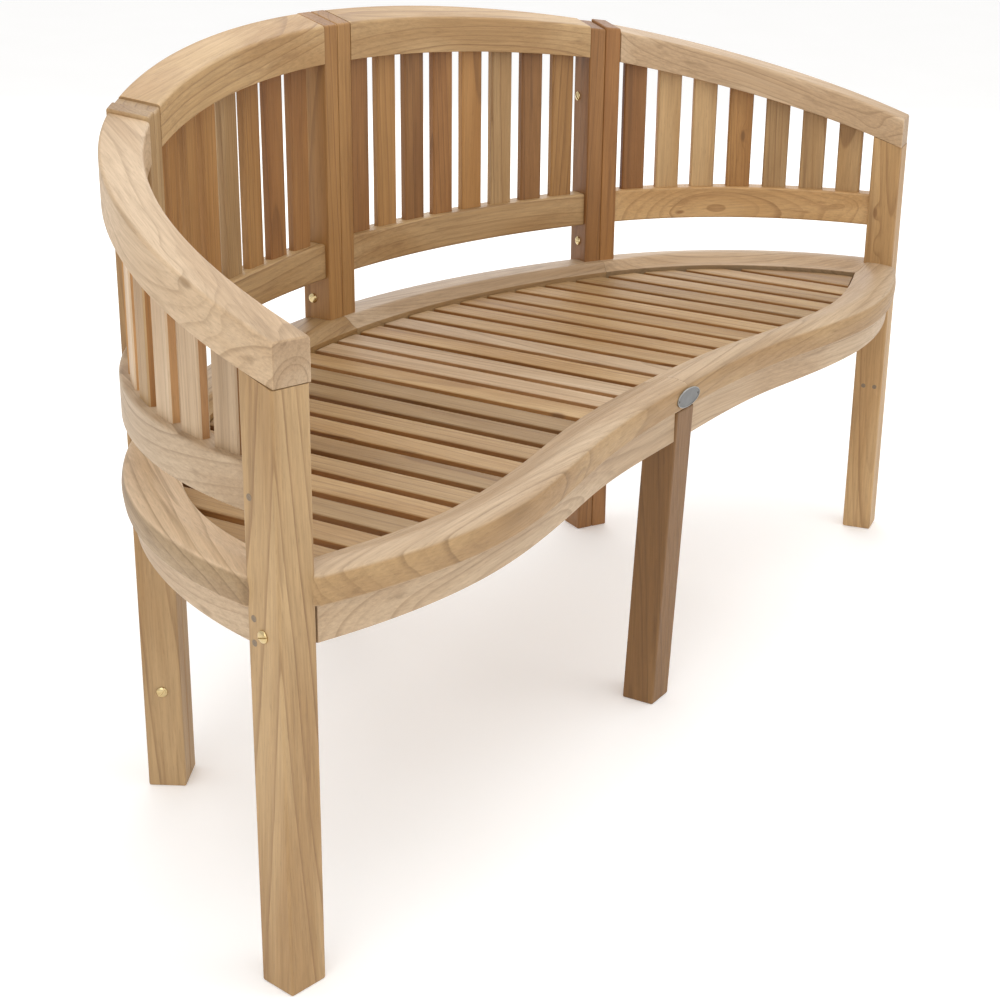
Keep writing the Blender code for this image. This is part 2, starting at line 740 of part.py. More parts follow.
def build_front_leg(side_name, side):
    """Front leg; the arm rail lies on its sloping top over a stub."""
    name = f"{side_name}_front_leg"
    top = rail_under(LEG_ANGLE) + ARM_DEPTH / 2
    leg = make(name, post_block(side, LEG_SPOT, LEG_TURN, LEG_SIZE, top=top), 0.98)
    round_edges(leg, POST_ROUND)
    half = RAIL_WIDTH * 0.6
    rings = []
    for angle in top_rail_angles("arm"):
        under = rail_under(angle) - FIT
        rings.append(rail_ring(side, angle, -half, half, under, under + LEG_SIZE, under + LEG_SIZE))
    cut(leg, loft(name + "_rail_room", rings, hidden=True))
    join(leg, add_boxes(name + "_stub", [box_matrix(*leg_tenon(side))]))
    entries = [lower_tenons(side, "arm")[1], apron_tenons(side, "arm")[1], front_tenons(side)[1]]
    cut(leg, post_mortises(name + "_mortises", entries))


def centre_leg_line(height):
    """Middle of the centre leg at a height; it leans forward from its foot."""
    return CENTRE_LEG_Y - CENTRE_LEG_RAKE * height


def centre_leg_block(grown=0.0):
    """Centre leg under the front rim, its foot set back a little."""
    bm = bmesh.new()
    bmesh.ops.create_cube(bm, size=1.0)
    half = LEG_SIZE / 2 + grown
    for vert in bm.verts:
        height = -grown if vert.co.z < 0 else APRON_TOP + grown
        vert.co = (math.copysign(half, vert.co.x),
                   centre_leg_line(height) + math.copysign(half, vert.co.y), height)
    return bm


def build_centre_leg():
    leg = make("centre_leg", centre_leg_block(), 0.98)
    round_edges(leg, POST_ROUND)
    entries = [front_tenons(RIGHT)[0], front_tenons(LEFT)[0], cross_tenons()[0]]
    cut(leg, post_mortises("centre_leg_mortises", entries))


def side_reach(y, inset):
    """How far to the side the side apron lies at a given depth, inset from its outer face."""
    angle = LEG_ANGLE
    for _ in range(REACH_ROUNDS):
        angle = math.acos((y - ARM_CENTRE.y) / (ARM_RADIUS + apron_offset(angle) - inset))
    return arc_spot(angle, apron_offset(angle) - inset).x


def long_bearer():
    """Bearer from side apron to side apron, up against both."""
    end = side_reach(BEARER_Y + BEARER_WIDTH / 2, APRON_THICKNESS) - 2 * FIT
    return RIGHT, Vector((0.0, BEARER_Y)), 0.0, BEARER_TOP - BEARER_HEIGHT, BEARER_TOP, \
        (2 * end, BEARER_WIDTH)


def bearer_tenon():
    """Narrower tenons of the long bearer, one bar through to both side aprons."""
    width = BEARER_WIDTH / 3
    end = side_reach(BEARER_Y + width / 2, APRON_THICKNESS / 2)
    low = BEARER_TOP - BEARER_HEIGHT * 0.75
    return RIGHT, Vector((0.0, BEARER_Y)), 0.0, low, low + BEARER_HEIGHT / 2, (2 * end, width)


def cross_span():
    front = centre_leg_line(BEARER_TOP - BEARER_HEIGHT) + LEG_SIZE / 2 + FIT
    back = BACK_LINE - LEG_SIZE / 2 - FIT
    return front, back


def cross_bearer():
    """Bearer from the centre leg to the middle posts."""
    front, back = cross_span()
    return RIGHT, Vector((0.0, (front + back) / 2)), 0.0, BEARER_TOP - BEARER_HEIGHT, \
        BEARER_TOP, (BEARER_WIDTH, back - front)


def cross_tenons():
    """Tenons of the cross bearer into the centre leg."""
    front, back = cross_span()
    low = BEARER_TOP - BEARER_HEIGHT * 0.75
    high = BEARER_TOP - BEARER_HEIGHT * 0.25
    return [(RIGHT, Vector((0.0, front)), 0.0, low, high, (LEG_SIZE / 3, 2 * TENON_LENGTH))]


def slat_slots():
    """The gaps between the seat slats, front to back through the whole deck."""
    entries = []
    for index in range(1, SEAT_SLATS):
        x = (index - SEAT_SLATS / 2) * SEAT_PITCH
        entries.append((RIGHT, Vector((x, 0.0)), 0.0, SLAT_BOTTOM - FIT, SEAT_TOP + FIT,
                        (SEAT_SLOT, 4 * BACK_LINE)))
    return entries


def build_seat_deck():
    """Seat slats, stepped down under the rim's lip, with the ledge and the bearers that carry them."""
    deck = plate("seat_deck", seat_outline(SEAT_TONGUE), SLAT_BOTTOM, SEAT_TOP - TONGUE_STEP,
                 hidden=False)
    join(deck, plate("seat_sitting_face", seat_outline(-TONGUE_STEP / 2), SLAT_BOTTOM + TONGUE_STEP,
                     SEAT_TOP))
    cut(deck, add_boxes("seat_slots", [box_matrix(*entry) for entry in slat_slots()]))
    join(deck, plate("seat_ledge", seat_outline(SEAT_TONGUE - FIT), BEARER_TOP - LEDGE_THICKNESS,
                     BEARER_TOP, seat_outline(-LEDGE_WIDTH)))
    join(deck, add_boxes("seat_long_bearer", [box_matrix(*long_bearer())]))
    join(deck, add_boxes("seat_long_bearer_tenons", [box_matrix(*bearer_tenon())]))
    join(deck, add_boxes("seat_cross_bearer", [box_matrix(*cross_bearer())]))
    join(deck, add_boxes("seat_cross_tenons", [box_matrix(*entry) for entry in cross_tenons()]))


clear_scene()
BENCH = new_collection("crescent_bench")
CUTTERS = new_collection("crescent_bench_cutters")
for side_label, side_sign in SIDES:
    build_panel_posts(side_label, side_sign)
    build_front_leg(side_label, side_sign)
    for panel_name in ("back", "arm"):
        build_top_rail(side_label, side_sign, panel_name)
        build_lower_rail(side_label, side_sign, panel_name)
        build_slats(side_label, side_sign, panel_name)
        build_curved_apron(side_label, side_sign, panel_name)
    build_front_rim(side_label, side_sign)
    build_side_rim(side_label, side_sign)
    build_back_rim(side_label, side_sign)
    build_front_apron(side_label, side_sign)
build_centre_leg()
build_seat_deck()
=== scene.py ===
"""Looks of a crescent-shaped teak garden bench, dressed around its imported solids."""

import logging
import math
import random
from collections.abc import Callable, Iterable
from dataclasses import dataclass
from enum import Enum

import bmesh
import bpy
from mathutils import Matrix, Vector


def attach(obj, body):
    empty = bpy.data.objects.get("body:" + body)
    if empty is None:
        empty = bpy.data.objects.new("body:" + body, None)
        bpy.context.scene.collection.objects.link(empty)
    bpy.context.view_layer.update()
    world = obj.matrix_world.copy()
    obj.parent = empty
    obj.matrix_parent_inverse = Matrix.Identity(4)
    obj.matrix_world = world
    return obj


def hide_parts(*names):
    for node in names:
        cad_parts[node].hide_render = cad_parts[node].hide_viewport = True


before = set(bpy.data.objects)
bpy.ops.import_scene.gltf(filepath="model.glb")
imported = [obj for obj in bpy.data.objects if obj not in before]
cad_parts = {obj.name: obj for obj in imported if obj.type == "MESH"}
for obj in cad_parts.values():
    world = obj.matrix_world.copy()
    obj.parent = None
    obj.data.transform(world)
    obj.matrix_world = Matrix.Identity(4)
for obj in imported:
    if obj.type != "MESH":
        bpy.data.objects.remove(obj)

LOG = logging.getLogger("crescent_bench")
BODY = "root"
SIDES = {"right": 1, "left": -1}
SHARP_EDGE = math.radians(50)
CORNER_STEPS = 4
HALVINGS = 40
# Rounding of a cut end that is let into a post
CUT_ROUNDING = 0.0006
UPWARD = Vector((0.0, 0.0, 1.0))


class Panel(Enum):
    """The two curved panels on each side of the bench."""

    BACK = "back"
    ARM = "arm"


class Slot(Enum):
    """The record's material slots, named for the new pieces but not put on them."""

    SEAT_RIM = "seat_rim"
    SEAT_SLATS = "seat_slats"
    TOP_RAILS = "top_rails"
    RAILS = "rails"


def linear(code: str) -> tuple[float, float, float, float]:
    """Turns an sRGB hex colour to linear.

    Args:
        code: six hex digits.

    Returns:
        Linear red, green and blue, and an alpha of 1.
    """
    parts = [int(code[place:place + 2], 16) / 255 for place in (0, 2, 4)]
    red, green, blue = (part / 12.92 if part <= 0.04045 else ((part + 0.055) / 1.055) ** 2.4 for part in parts)
    return red, green, blue, 1.0


def add_node(tree: bpy.types.NodeTree, kind: str, settings: dict | None = None,
             sockets: dict | None = None) -> bpy.types.Node:
    """Adds a node with its settings, and sets or links its sockets.

    Args:
        tree: the material's node tree.
        kind: the node's type name.
        settings: the node's own properties.
        sockets: values or output sockets for its inputs, by name or number.

    Returns:
        The new node.
    """
    node = tree.nodes.new(kind)
    for name, value in (settings or {}).items():
        setattr(node, name, value)
    for name, value in (sockets or {}).items():
        if isinstance(value, bpy.types.NodeSocket):
            tree.links.new(value, node.inputs[name])
        else:
            node.inputs[name].default_value = value
    return node


def last_true(low: float, high: float, test: Callable[[float], bool]) -> float:
    """Halves a range again and again, to find where a test stops being true.

    Args:
        low: a value at which the test is true.
        high: a value at which it is false.
        test: the test.

    Returns:
        The last value at which the test is true.
    """
    for _ in range(HALVINGS):
        middle = (low + high) / 2
        if test(middle):
            low = middle
        else:
            high = middle
    return low


@dataclass(frozen=True)
class Plan:
    """Lines of the bench in plan and height, the same as those of its solids.

    A front line is given by how far it lies from the line of the legs at the middle, the waist, the bulge and
    the leg, and by its slopes at the waist and at the leg.
    """

    back_radius: float = 1.0006
    back_sweep: float = math.radians(28.95)
    arm_radius: float = 0.4702
    arm_sweep: float = math.radians(55.71)
    leg_turn: float = math.radians(79.8)
    back_line: float = 0.2769
    leg: float = 0.0433
    pair_post: float = 0.0255
    middle_post: float = 0.0272
    fit: float = 0.0003
    crest_top: float = 0.8188
    pair_top: float = 0.7758
    arm_top: float = 0.6542
    arm_share: float = 0.726
    crest_fall: float = 0.0134
    pair_fall: float = 0.0082
    crest_depth: float = 0.0597
    pair_depth: float = 0.0512
    arm_depth: float = 0.0427
    lower_top: float = 0.5298
    lower_height: float = 0.0464
    rim_bottom: float = 0.3944
    rim_height: float = 0.0344
    waist: float = 0.25
    bulge: float = 0.47
    corner_back: float = math.radians(3.5)
    rim_ahead: tuple[float, float, float, float] = (0.0411, 0.0580, 0.0880, 0.0244)
    rim_slopes: tuple[float, float] = (0.159, -0.45)
    apron_ahead: tuple[float, float, float, float] = (0.0350, 0.0459, 0.0698, 0.0152)
    apron_slopes: tuple[float, float] = (0.156, -0.41)
    lip_behind: tuple[float, float, float] = (0.0222, 0.0038, -0.0206)
    lip_slopes: tuple[float, float] = (-0.180, 0.30)
    lip_inside: tuple[float, float, float, float] = (0.0438, 0.0424, 0.0394, 0.0425)
    rim_outside: tuple[float, float, float] = (0.027, 0.018, 0.0235)
    end_slope: float = 0.01

    @property
    def leg_angle(self) -> float:
        """Angle on the arm arc of the front leg."""
        return self.back_sweep + self.arm_sweep

    @property
    def corner_angle(self) -> float:
        """Angle on the arm arc of the corner of the rim's lip."""
        return self.leg_angle - self.corner_back

    def along(self, angle: float) -> Vector:
        """Direction out from an arc's centre at an angle."""
        return Vector((math.sin(angle), math.cos(angle)))

    @property
    def back_centre(self) -> Vector:
        """Centre of the back arc."""
        return Vector((0.0, self.back_line - self.back_radius))

    @property
    def pair_spot(self) -> Vector:
        """Where the back arc meets the arm arc."""
        return self.back_centre + self.back_radius * self.along(self.back_sweep)

    @property
    def arm_centre(self) -> Vector:
        """Centre of the arm arc."""
        return self.pair_spot - self.arm_radius * self.along(self.back_sweep)

    @property
    def leg_spot(self) -> Vector:
        """Middle of the front leg."""
        return self.arm_centre + self.arm_radius * self.along(self.leg_angle)

    def radius(self, angle: float) -> float:
        """Radius of the arc that holds an angle."""
        return self.back_radius if angle <= self.back_sweep else self.arm_radius

    def spot(self, angle: float, offset: float) -> Vector:
        """Plan position on the arcs, moved outward by an offset."""
        centre = self.back_centre if angle <= self.back_sweep else self.arm_centre
        return centre + (self.radius(angle) + offset) * self.along(angle)

    def beside(self, spot: Vector, angle: float, along: float, across: float) -> Vector:
        """Plan position beside a spot, along the arc and across it."""
        return spot + along * Vector((math.cos(angle), -math.sin(angle))) + across * self.along(angle)

    def ends(self, panel: Panel, offset: float, near: float = 0.0) -> tuple[float, float]:
        """Angles at which a member at an offset meets the faces of its panel's posts.

        Args:
            panel: the back or the arm panel.
            offset: distance outside the arc.
            near: extra reach into both posts.

        Returns:
            The first and the last angle.
        """
        if panel is Panel.BACK:
            reach = self.back_radius + offset
            return (math.asin((self.middle_post + self.fit - near) / reach),
                    self.back_sweep - math.asin((self.pair_post + self.fit - near) / reach))
        reach = self.arm_radius + offset
        lean = self.arm_radius * math.sin(self.leg_angle - self.leg_turn)
        return (self.back_sweep + math.asin((self.pair_post + self.fit - near) / reach),
                self.leg_turn + math.asin((lean - self.leg / 2 - self.fit + near) / reach))

    def hand_end(self, offset: float) -> float:
        """Angle at which the arm rail ends, over the front face of the leg."""
        lean = self.arm_radius * math.sin(self.leg_angle - self.leg_turn)
        return self.leg_turn + math.asin((lean + self.leg / 2) / (self.arm_radius + offset))

    def share(self, angle: float) -> float:
        """How far along the arm arc an angle lies."""
        return max(0.0, (angle - self.back_sweep) / self.arm_sweep)

    def settled(self, crest: float, pair: float, angle: float) -> float:
        """A size of the back's top rail, which changes from the crest to the pair posts as a parabola."""
        return crest - (crest - pair) * (angle / self.back_sweep) ** 2

    def outer_top(self, angle: float) -> float:
        """Height of the outer edge of the top rail.

        Args:
            angle: place along the arcs.

        Returns:
            The height.
        """
        if angle <= self.back_sweep:
            return self.settled(self.crest_top, self.pair_top, angle)
        share = self.share(angle)
        fall = self.arm_share * share + (1 - self.arm_share) * share ** 2
        return self.pair_top - (self.pair_top - self.arm_top) * fall

    def inner_top(self, angle: float) -> float:
        """Height of the inner edge of the top rail, below the outer one except at the hand.

        Args:
            angle: place along the arcs.

        Returns:
            The height.
        """
        if angle <= self.back_sweep:
            return self.outer_top(angle) - self.settled(self.crest_fall, self.pair_fall, angle)
        return self.outer_top(angle) - self.pair_fall * max(0.0, 1 - self.share(angle) ** 2)

    def rail_under(self, angle: float) -> float:
        """Height of the underside of the top rail.

        Args:
            angle: place along the arcs.

        Returns:
            The height.
        """
        if angle <= self.back_sweep:
            return self.outer_top(angle) - self.settled(self.crest_depth, self.pair_depth, angle)
        depth = self.pair_depth + (self.arm_depth - self.pair_depth) * self.share(angle) ** 2
        return self.outer_top(angle) - depth

    def flow(self, value: float, knots: Iterable[tuple[float, float, float]]) -> float:
        """Follows a smooth curve through knots.

        Args:
            value: where on the curve.
            knots: place, height and slope of each knot.

        Returns:
            The curve's height there.
        """
        points = list(knots)
        for (x0, y0, m0), (x1, y1, m1) in zip(points, points[1:]):
            if value <= x1:
                break
        span = x1 - x0
        t = (value - x0) / span
        rise = t * (1 - t) * ((1 - t) * m0 - t * m1) * span
        return y0 + (y1 - y0) * t * t * (3 - 2 * t) + rise

    def front(self, x: float, ahead: tuple[float, float, float, float], slopes: tuple[float, float]) -> float:
        """Plan line of a bowed front.

        Args:
            x: distance from the middle.
            ahead: how far the line is ahead of the legs at the middle, the waist, the bulge and the leg.
            slopes: its slopes at the waist and at the leg.

        Returns:
            The line's y.
        """
        knots = ((0.0, ahead[0], 0.0), (self.waist, ahead[1], slopes[0]), (self.bulge, ahead[2], 0.0),
                 (self.leg_spot.x, ahead[3], slopes[1]))
        return self.leg_spot.y - self.flow(x, knots)

    def front_outer(self, x: float) -> float:
        """Plan line of the widest edge of the front rim."""
        return self.front(x, self.rim_ahead, self.rim_slopes)

    def front_apron(self, x: float) -> float:
        """Plan line of the face of the front apron."""
        return self.front(x, self.apron_ahead, self.apron_slopes)

    @property
    def lip_corner(self) -> Vector:
        """Corner of the lip beside the front leg."""
        return self.spot(self.corner_angle, -self.lip_offset(self.corner_angle))

    def front_lip(self, x: float) -> float:
        """Plan line of the lip of the front rim.

        Args:
            x: distance from the middle.

        Returns:
            The lip's y.
        """
        corner, behind = self.lip_corner, self.lip_behind
        knots = ((0.0, behind[0], 0.0), (self.waist, behind[1], self.lip_slopes[0]), (self.bulge, behind[2], 0.0),
                 (corner.x, corner.y - self.leg_spot.y, self.lip_slopes[1]))
        return self.leg_spot.y + self.flow(x, knots)

    def lip_offset(self, angle: float) -> float:
        """Distance of the rim's lip inside the rail arcs.

        Args:
            angle: place along the arcs.

        Returns:
            The distance.
        """
        places = (0.0, self.back_sweep, (self.back_sweep + self.corner_angle) / 2, self.corner_angle)
        return self.flow(angle, zip(places, self.lip_inside, (0.0, 0.0, 0.0, self.end_slope)))

    def outer_offset(self, angle: float) -> float:
        """Distance of the rim's widest edge outside the rail arcs."""
        places = (0.0, self.back_sweep, self.leg_angle)
        return self.flow(angle, zip(places, self.rim_outside, (0.0, 0.0, -self.end_slope)))

    def back_lip(self, x: float, margin: float) -> float:
        """Plan line of the lip behind the seat, for a place left or right of the middle.

        Args:
            x: distance from the middle.
            margin: distance outside the lip.

        Returns:
            The lip's y.
        """
        def lip(angle: float) -> Vector:
            """Plan place beside the lip at an angle."""
            return self.spot(angle, margin - self.lip_offset(angle))

        return lip(last_true(0.0, self.corner_angle, lambda angle: lip(angle).x < x)).y


def new_piece(name: str, bm: bmesh.types.BMesh, slot: Slot | None = None) -> bpy.types.Object:
    """Makes a finished piece of a mesh, with soft shading, riding on the bench.

    Args:
        name: the piece's name.
        bm: the mesh, which is freed.
        slot: not used.

    Returns:
        The piece.
    """
    bm.normal_update()
    bmesh.ops.recalc_face_normals(bm, faces=bm.faces)
    for face in bm.faces:
        face.smooth = True
    mesh = bpy.data.meshes.new(name)
    bm.to_mesh(mesh)
    bm.free()
    mesh.set_sharp_from_angle(angle=SHARP_EDGE)
    piece = bpy.data.objects.new(name, mesh)
    bpy.context.scene.collection.objects.link(piece)
    shading = piece.modifiers.new("even_shading", "WEIGHTED_NORMAL")
    shading.keep_sharp = True
    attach(piece, BODY)
    LOG.info("made %s", name)
    return piece


def bar_section(width: float, height: float, rounding: float, under: float | None = None) -> bmesh.types.BMesh:
    """A flat section of a bar, round its middle, with rounded corners.

    Args:
        width: size across.
        height: size upward.
        rounding: radius of the corners.
        under: radius of the two lower corners, where it differs.

    Returns:
        A mesh of one face.
    """
    bm = bmesh.new()
    bmesh.ops.create_grid(bm, x_segments=1, y_segments=1, size=0.5)
    bmesh.ops.scale(bm, vec=(width, height, 1.0), verts=bm.verts)
    lower = [vert for vert in bm.verts if vert.co.y < 0]
    upper = [vert for vert in bm.verts if vert.co.y > 0]
    for corners, radius in ((lower, under or rounding), (upper, rounding)):
        bmesh.ops.bevel(bm, geom=corners, offset=radius, offset_type="OFFSET", segments=CORNER_STEPS, profile=0.5,
                        affect="VERTICES", material=-1)
    return bm


def bar_stations(length: float, steps: int, start: float, end: float) -> list[tuple[float, float]]:
    """Places along a bar, closer where its ends are rounded.

    Args:
        length: the bar's length.
        steps: how many equal steps the middle has.
        start: rounding of the first end.
        end: rounding of the last end.

    Returns:
        Shares of the length, each with how far the section draws in there.
    """
    quarters = [step / CORNER_STEPS * math.pi / 2 for step in range(CORNER_STEPS + 1)]
    places = []
    if start > 0:
        places = [(start * (1 - math.cos(turn)) / length, start * (1 - math.sin(turn))) for turn in quarters[:-1]]
    first = start / length
    last = 1 - end / length
    places += [(first + (last - first) * step / steps, 0.0) for step in range(steps + 1)]
    if end > 0:
        places += [(last + end * math.sin(turn) / length, end * (1 - math.cos(turn))) for turn in quarters[1:]]
    return places


def sweep(section: bmesh.types.BMesh, stations: list[tuple[float, float]],
          place: Callable[[float, Vector], Vector], size: tuple[float, float]) -> bmesh.types.BMesh:
    """Extrudes a flat section from station to station and sets each one in its place.

    Args:
        section: a mesh of one face, round its middle.
        stations: shares of the length with how far the section draws in.
        place: gives the place of a section point at a share.
        size: the section's width and height.

    Returns:
        A closed mesh.
    """
    bm = section
    bmesh.ops.delete(bm, geom=bm.faces[:], context="FACES_ONLY")
    across = bm.verts.layers.float.new("across")
    upward = bm.verts.layers.float.new("upward")
    for vert in bm.verts:
        vert[across] = vert.co.x
        vert[upward] = vert.co.y
    ring = bm.verts[:]
    edges = bm.edges[:]
    first_edges = edges
    for number, (share, draw) in enumerate(stations):
        if number:
            made = bmesh.ops.extrude_edge_only(bm, edges=edges)["geom"]
            ring = [item for item in made if isinstance(item, bmesh.types.BMVert)]
            fresh = set(ring)
            edges = [item for item in made if isinstance(item, bmesh.types.BMEdge)
                     and all(vert in fresh for vert in item.verts)]
        for vert in ring:
            point = Vector((vert[across] * (1 - 2 * draw / size[0]), vert[upward] * (1 - 2 * draw / size[1]), 0.0))
            vert.co = place(share, point)
    for border in (first_edges, edges):
        bmesh.ops.contextual_create(bm, geom=border)
    return bm


def lie(place: Callable[[float, Vector], Vector], point: Vector = Vector((0.0, 0.0, 0.0))) -> Vector:
    """Direction in which a swept member lies, from its first end to its last."""
    return place(1.0, point) - place(0.0, point)


class Tone(Enum):
    """Heartwood and sapwood tones of the boards: pale wood, warm wood and dark line."""

    PALE = ("C8AD8C", "B79976", "8C704E")
    HONEY = ("B9986B", "A68254", "785430")
    WARM = ("B2844C", "A0713A", "744E26")
    BROWN = ("9C6E3C", "8B5D2E", "63401E")
    GREYED = ("AA957A", "978167", "705D47")


@dataclass(frozen=True)
class Knot:
    """A place where the grain runs round a knot or swirl."""

    spot: tuple[float, float, float]
    across: float = 0.016
    pull: float = 0.016
    heart: float = 0.0


@dataclass(frozen=True)
class Board:
    """How the wood of one board looks: its tone, a lightness that is partly its own tone and partly painted light
    and shade, and its knots.
    """

    tone: Tone = Tone.HONEY
    light: float = 1.0
    knots: tuple[Knot, ...] = ()


# Lightness factors are partly each board's own tone and partly painted light and shade for where it stands, as on
# the darker back rims and centre leg
BOARDS: dict[str, Board] = {
    "left_back_top_rail": Board(Tone.HONEY, 1.05), "right_back_top_rail": Board(Tone.HONEY, 1.0),
    "left_arm_top_rail": Board(Tone.PALE, 0.98, (
        Knot((-0.7002, -0.0815, 0.6959), 0.012, 0.008), Knot((-0.7405, -0.1795, 0.6644), 0.014, 0.012),
        Knot((-0.7298, -0.1258, 0.6795), 0.007, 0.008, 0.5))),
    "right_arm_top_rail": Board(Tone.PALE, 1.0, (Knot((0.7007, -0.1959, 0.6314), 0.014, 0.014),)),
    "left_back_lower_rail": Board(Tone.HONEY, 0.95), "right_back_lower_rail": Board(Tone.HONEY, 0.95),
    "left_arm_lower_rail": Board(Tone.PALE, 0.8),
    "right_arm_lower_rail": Board(Tone.HONEY, 1.3, (
        Knot((0.5838, 0.057, 0.4928), 0.005, 0.006, 0.5), Knot((0.6162, 0.0196, 0.5027), 0.024, 0.02),
        Knot((0.7012, -0.1612, 0.5108), 0.012, 0.012))),
    "left_front_apron": Board(Tone.PALE, 0.88), "right_front_apron": Board(Tone.PALE, 0.9),
    "left_side_apron": Board(Tone.PALE, 0.88), "right_side_apron": Board(Tone.HONEY, 1.05),
    "left_back_apron": Board(Tone.HONEY), "right_back_apron": Board(Tone.HONEY),
    "left_front_rim": Board(Tone.PALE, 0.9), "right_front_rim": Board(Tone.PALE, 0.9),
    "left_side_rim": Board(Tone.PALE, 1.12), "right_side_rim": Board(Tone.PALE, 0.92),
    "left_back_rim": Board(Tone.HONEY, 0.8), "right_back_rim": Board(Tone.PALE, 0.8),
    "right_back_slat_1": Board(Tone.BROWN), "right_back_slat_2": Board(Tone.WARM, 0.9),
    "right_back_slat_3": Board(Tone.BROWN, 0.84), "right_back_slat_4": Board(Tone.BROWN, 1.05),
    "right_back_slat_5": Board(Tone.WARM, 1.02), "right_back_slat_6": Board(Tone.HONEY, 0.95),
    "right_back_slat_7": Board(Tone.BROWN, 0.84), "right_back_slat_8": Board(Tone.WARM, 0.82),
    "right_arm_slat_1": Board(Tone.BROWN, 0.97), "right_arm_slat_2": Board(Tone.HONEY, 1.1),
    "right_arm_slat_3": Board(Tone.HONEY, 1.1),
    "right_arm_slat_4": Board(Tone.WARM, 0.94, (Knot((0.649, -0.0104, 0.6057), 0.006, 0.01, 0.5),)),
    "right_arm_slat_5": Board(Tone.HONEY, 0.92), "right_arm_slat_6": Board(Tone.HONEY, 0.97),
    "right_arm_slat_7": Board(Tone.HONEY, 1.05),
    "left_back_slat_1": Board(Tone.BROWN), "left_back_slat_2": Board(Tone.BROWN, 1.05),
    "left_back_slat_3": Board(Tone.WARM, 0.88), "left_back_slat_4": Board(Tone.HONEY, 0.88),
    "left_back_slat_5": Board(Tone.WARM, 0.98), "left_back_slat_6": Board(Tone.WARM, 0.9),
    "left_back_slat_7": Board(Tone.WARM, 0.98), "left_back_slat_8": Board(Tone.WARM, 1.05),
    "left_arm_slat_1": Board(Tone.PALE, 1.12), "left_arm_slat_2": Board(Tone.WARM, 1.12),
    "left_arm_slat_3": Board(Tone.PALE, 1.1), "left_arm_slat_4": Board(Tone.HONEY, 0.92),
    "left_arm_slat_5": Board(Tone.PALE, 0.98), "left_arm_slat_6": Board(Tone.PALE, 0.92),
    "left_arm_slat_7": Board(Tone.PALE, 0.82),
    "left_middle_post": Board(Tone.WARM, 0.9), "right_middle_post": Board(Tone.WARM, 0.85),
    "left_back_pair_post": Board(Tone.HONEY, 0.88), "left_arm_pair_post": Board(Tone.HONEY, 0.9),
    "right_back_pair_post": Board(Tone.BROWN, 0.93), "right_arm_pair_post": Board(Tone.BROWN, 1.08),
    "left_front_leg": Board(Tone.HONEY, 0.92),
    "right_front_leg": Board(Tone.HONEY, 1.12, (
        Knot((0.7025, -0.2136, 0.4547), 0.007, 0.008), Knot((0.7018, -0.2096, 0.5046), 0.006, 0.008, 0.5))),
    "centre_leg": Board(Tone.WARM, 0.56),
    "peg_end": Board(Tone.GREYED, 0.72),
    "seat_slat_01": Board(Tone.HONEY, 0.9), "seat_slat_02": Board(Tone.HONEY, 0.94),
    "seat_slat_03": Board(Tone.HONEY, 0.76), "seat_slat_04": Board(Tone.HONEY, 1.00),
    "seat_slat_05": Board(Tone.HONEY, 0.86), "seat_slat_06": Board(Tone.HONEY, 0.73),
    "seat_slat_07": Board(Tone.HONEY, 0.95), "seat_slat_08": Board(Tone.HONEY, 0.85),
    "seat_slat_09": Board(Tone.HONEY, 0.69), "seat_slat_10": Board(Tone.HONEY, 0.71),
    "seat_slat_11": Board(Tone.HONEY, 0.98, (Knot((-0.1471, -0.1619, 0.4071), 0.006, 0.008, 0.6),)),
    "seat_slat_12": Board(Tone.PALE, 0.98), "seat_slat_13": Board(Tone.PALE, 0.92),
    "seat_slat_14": Board(Tone.HONEY, 1.00), "seat_slat_15": Board(Tone.PALE, 0.89),
    "seat_slat_16": Board(Tone.HONEY, 0.91), "seat_slat_17": Board(Tone.HONEY, 0.95),
    "seat_slat_18": Board(Tone.HONEY, 0.95), "seat_slat_19": Board(Tone.HONEY, 0.89),
    "seat_slat_20": Board(Tone.HONEY, 0.95), "seat_slat_21": Board(Tone.HONEY, 0.87),
    "seat_slat_22": Board(Tone.HONEY, 0.78), "seat_slat_23": Board(Tone.HONEY, 0.89),
    "seat_slat_24": Board(Tone.HONEY, 0.81), "seat_slat_25": Board(Tone.HONEY, 0.95),
    "seat_slat_26": Board(Tone.HONEY, 0.88)}


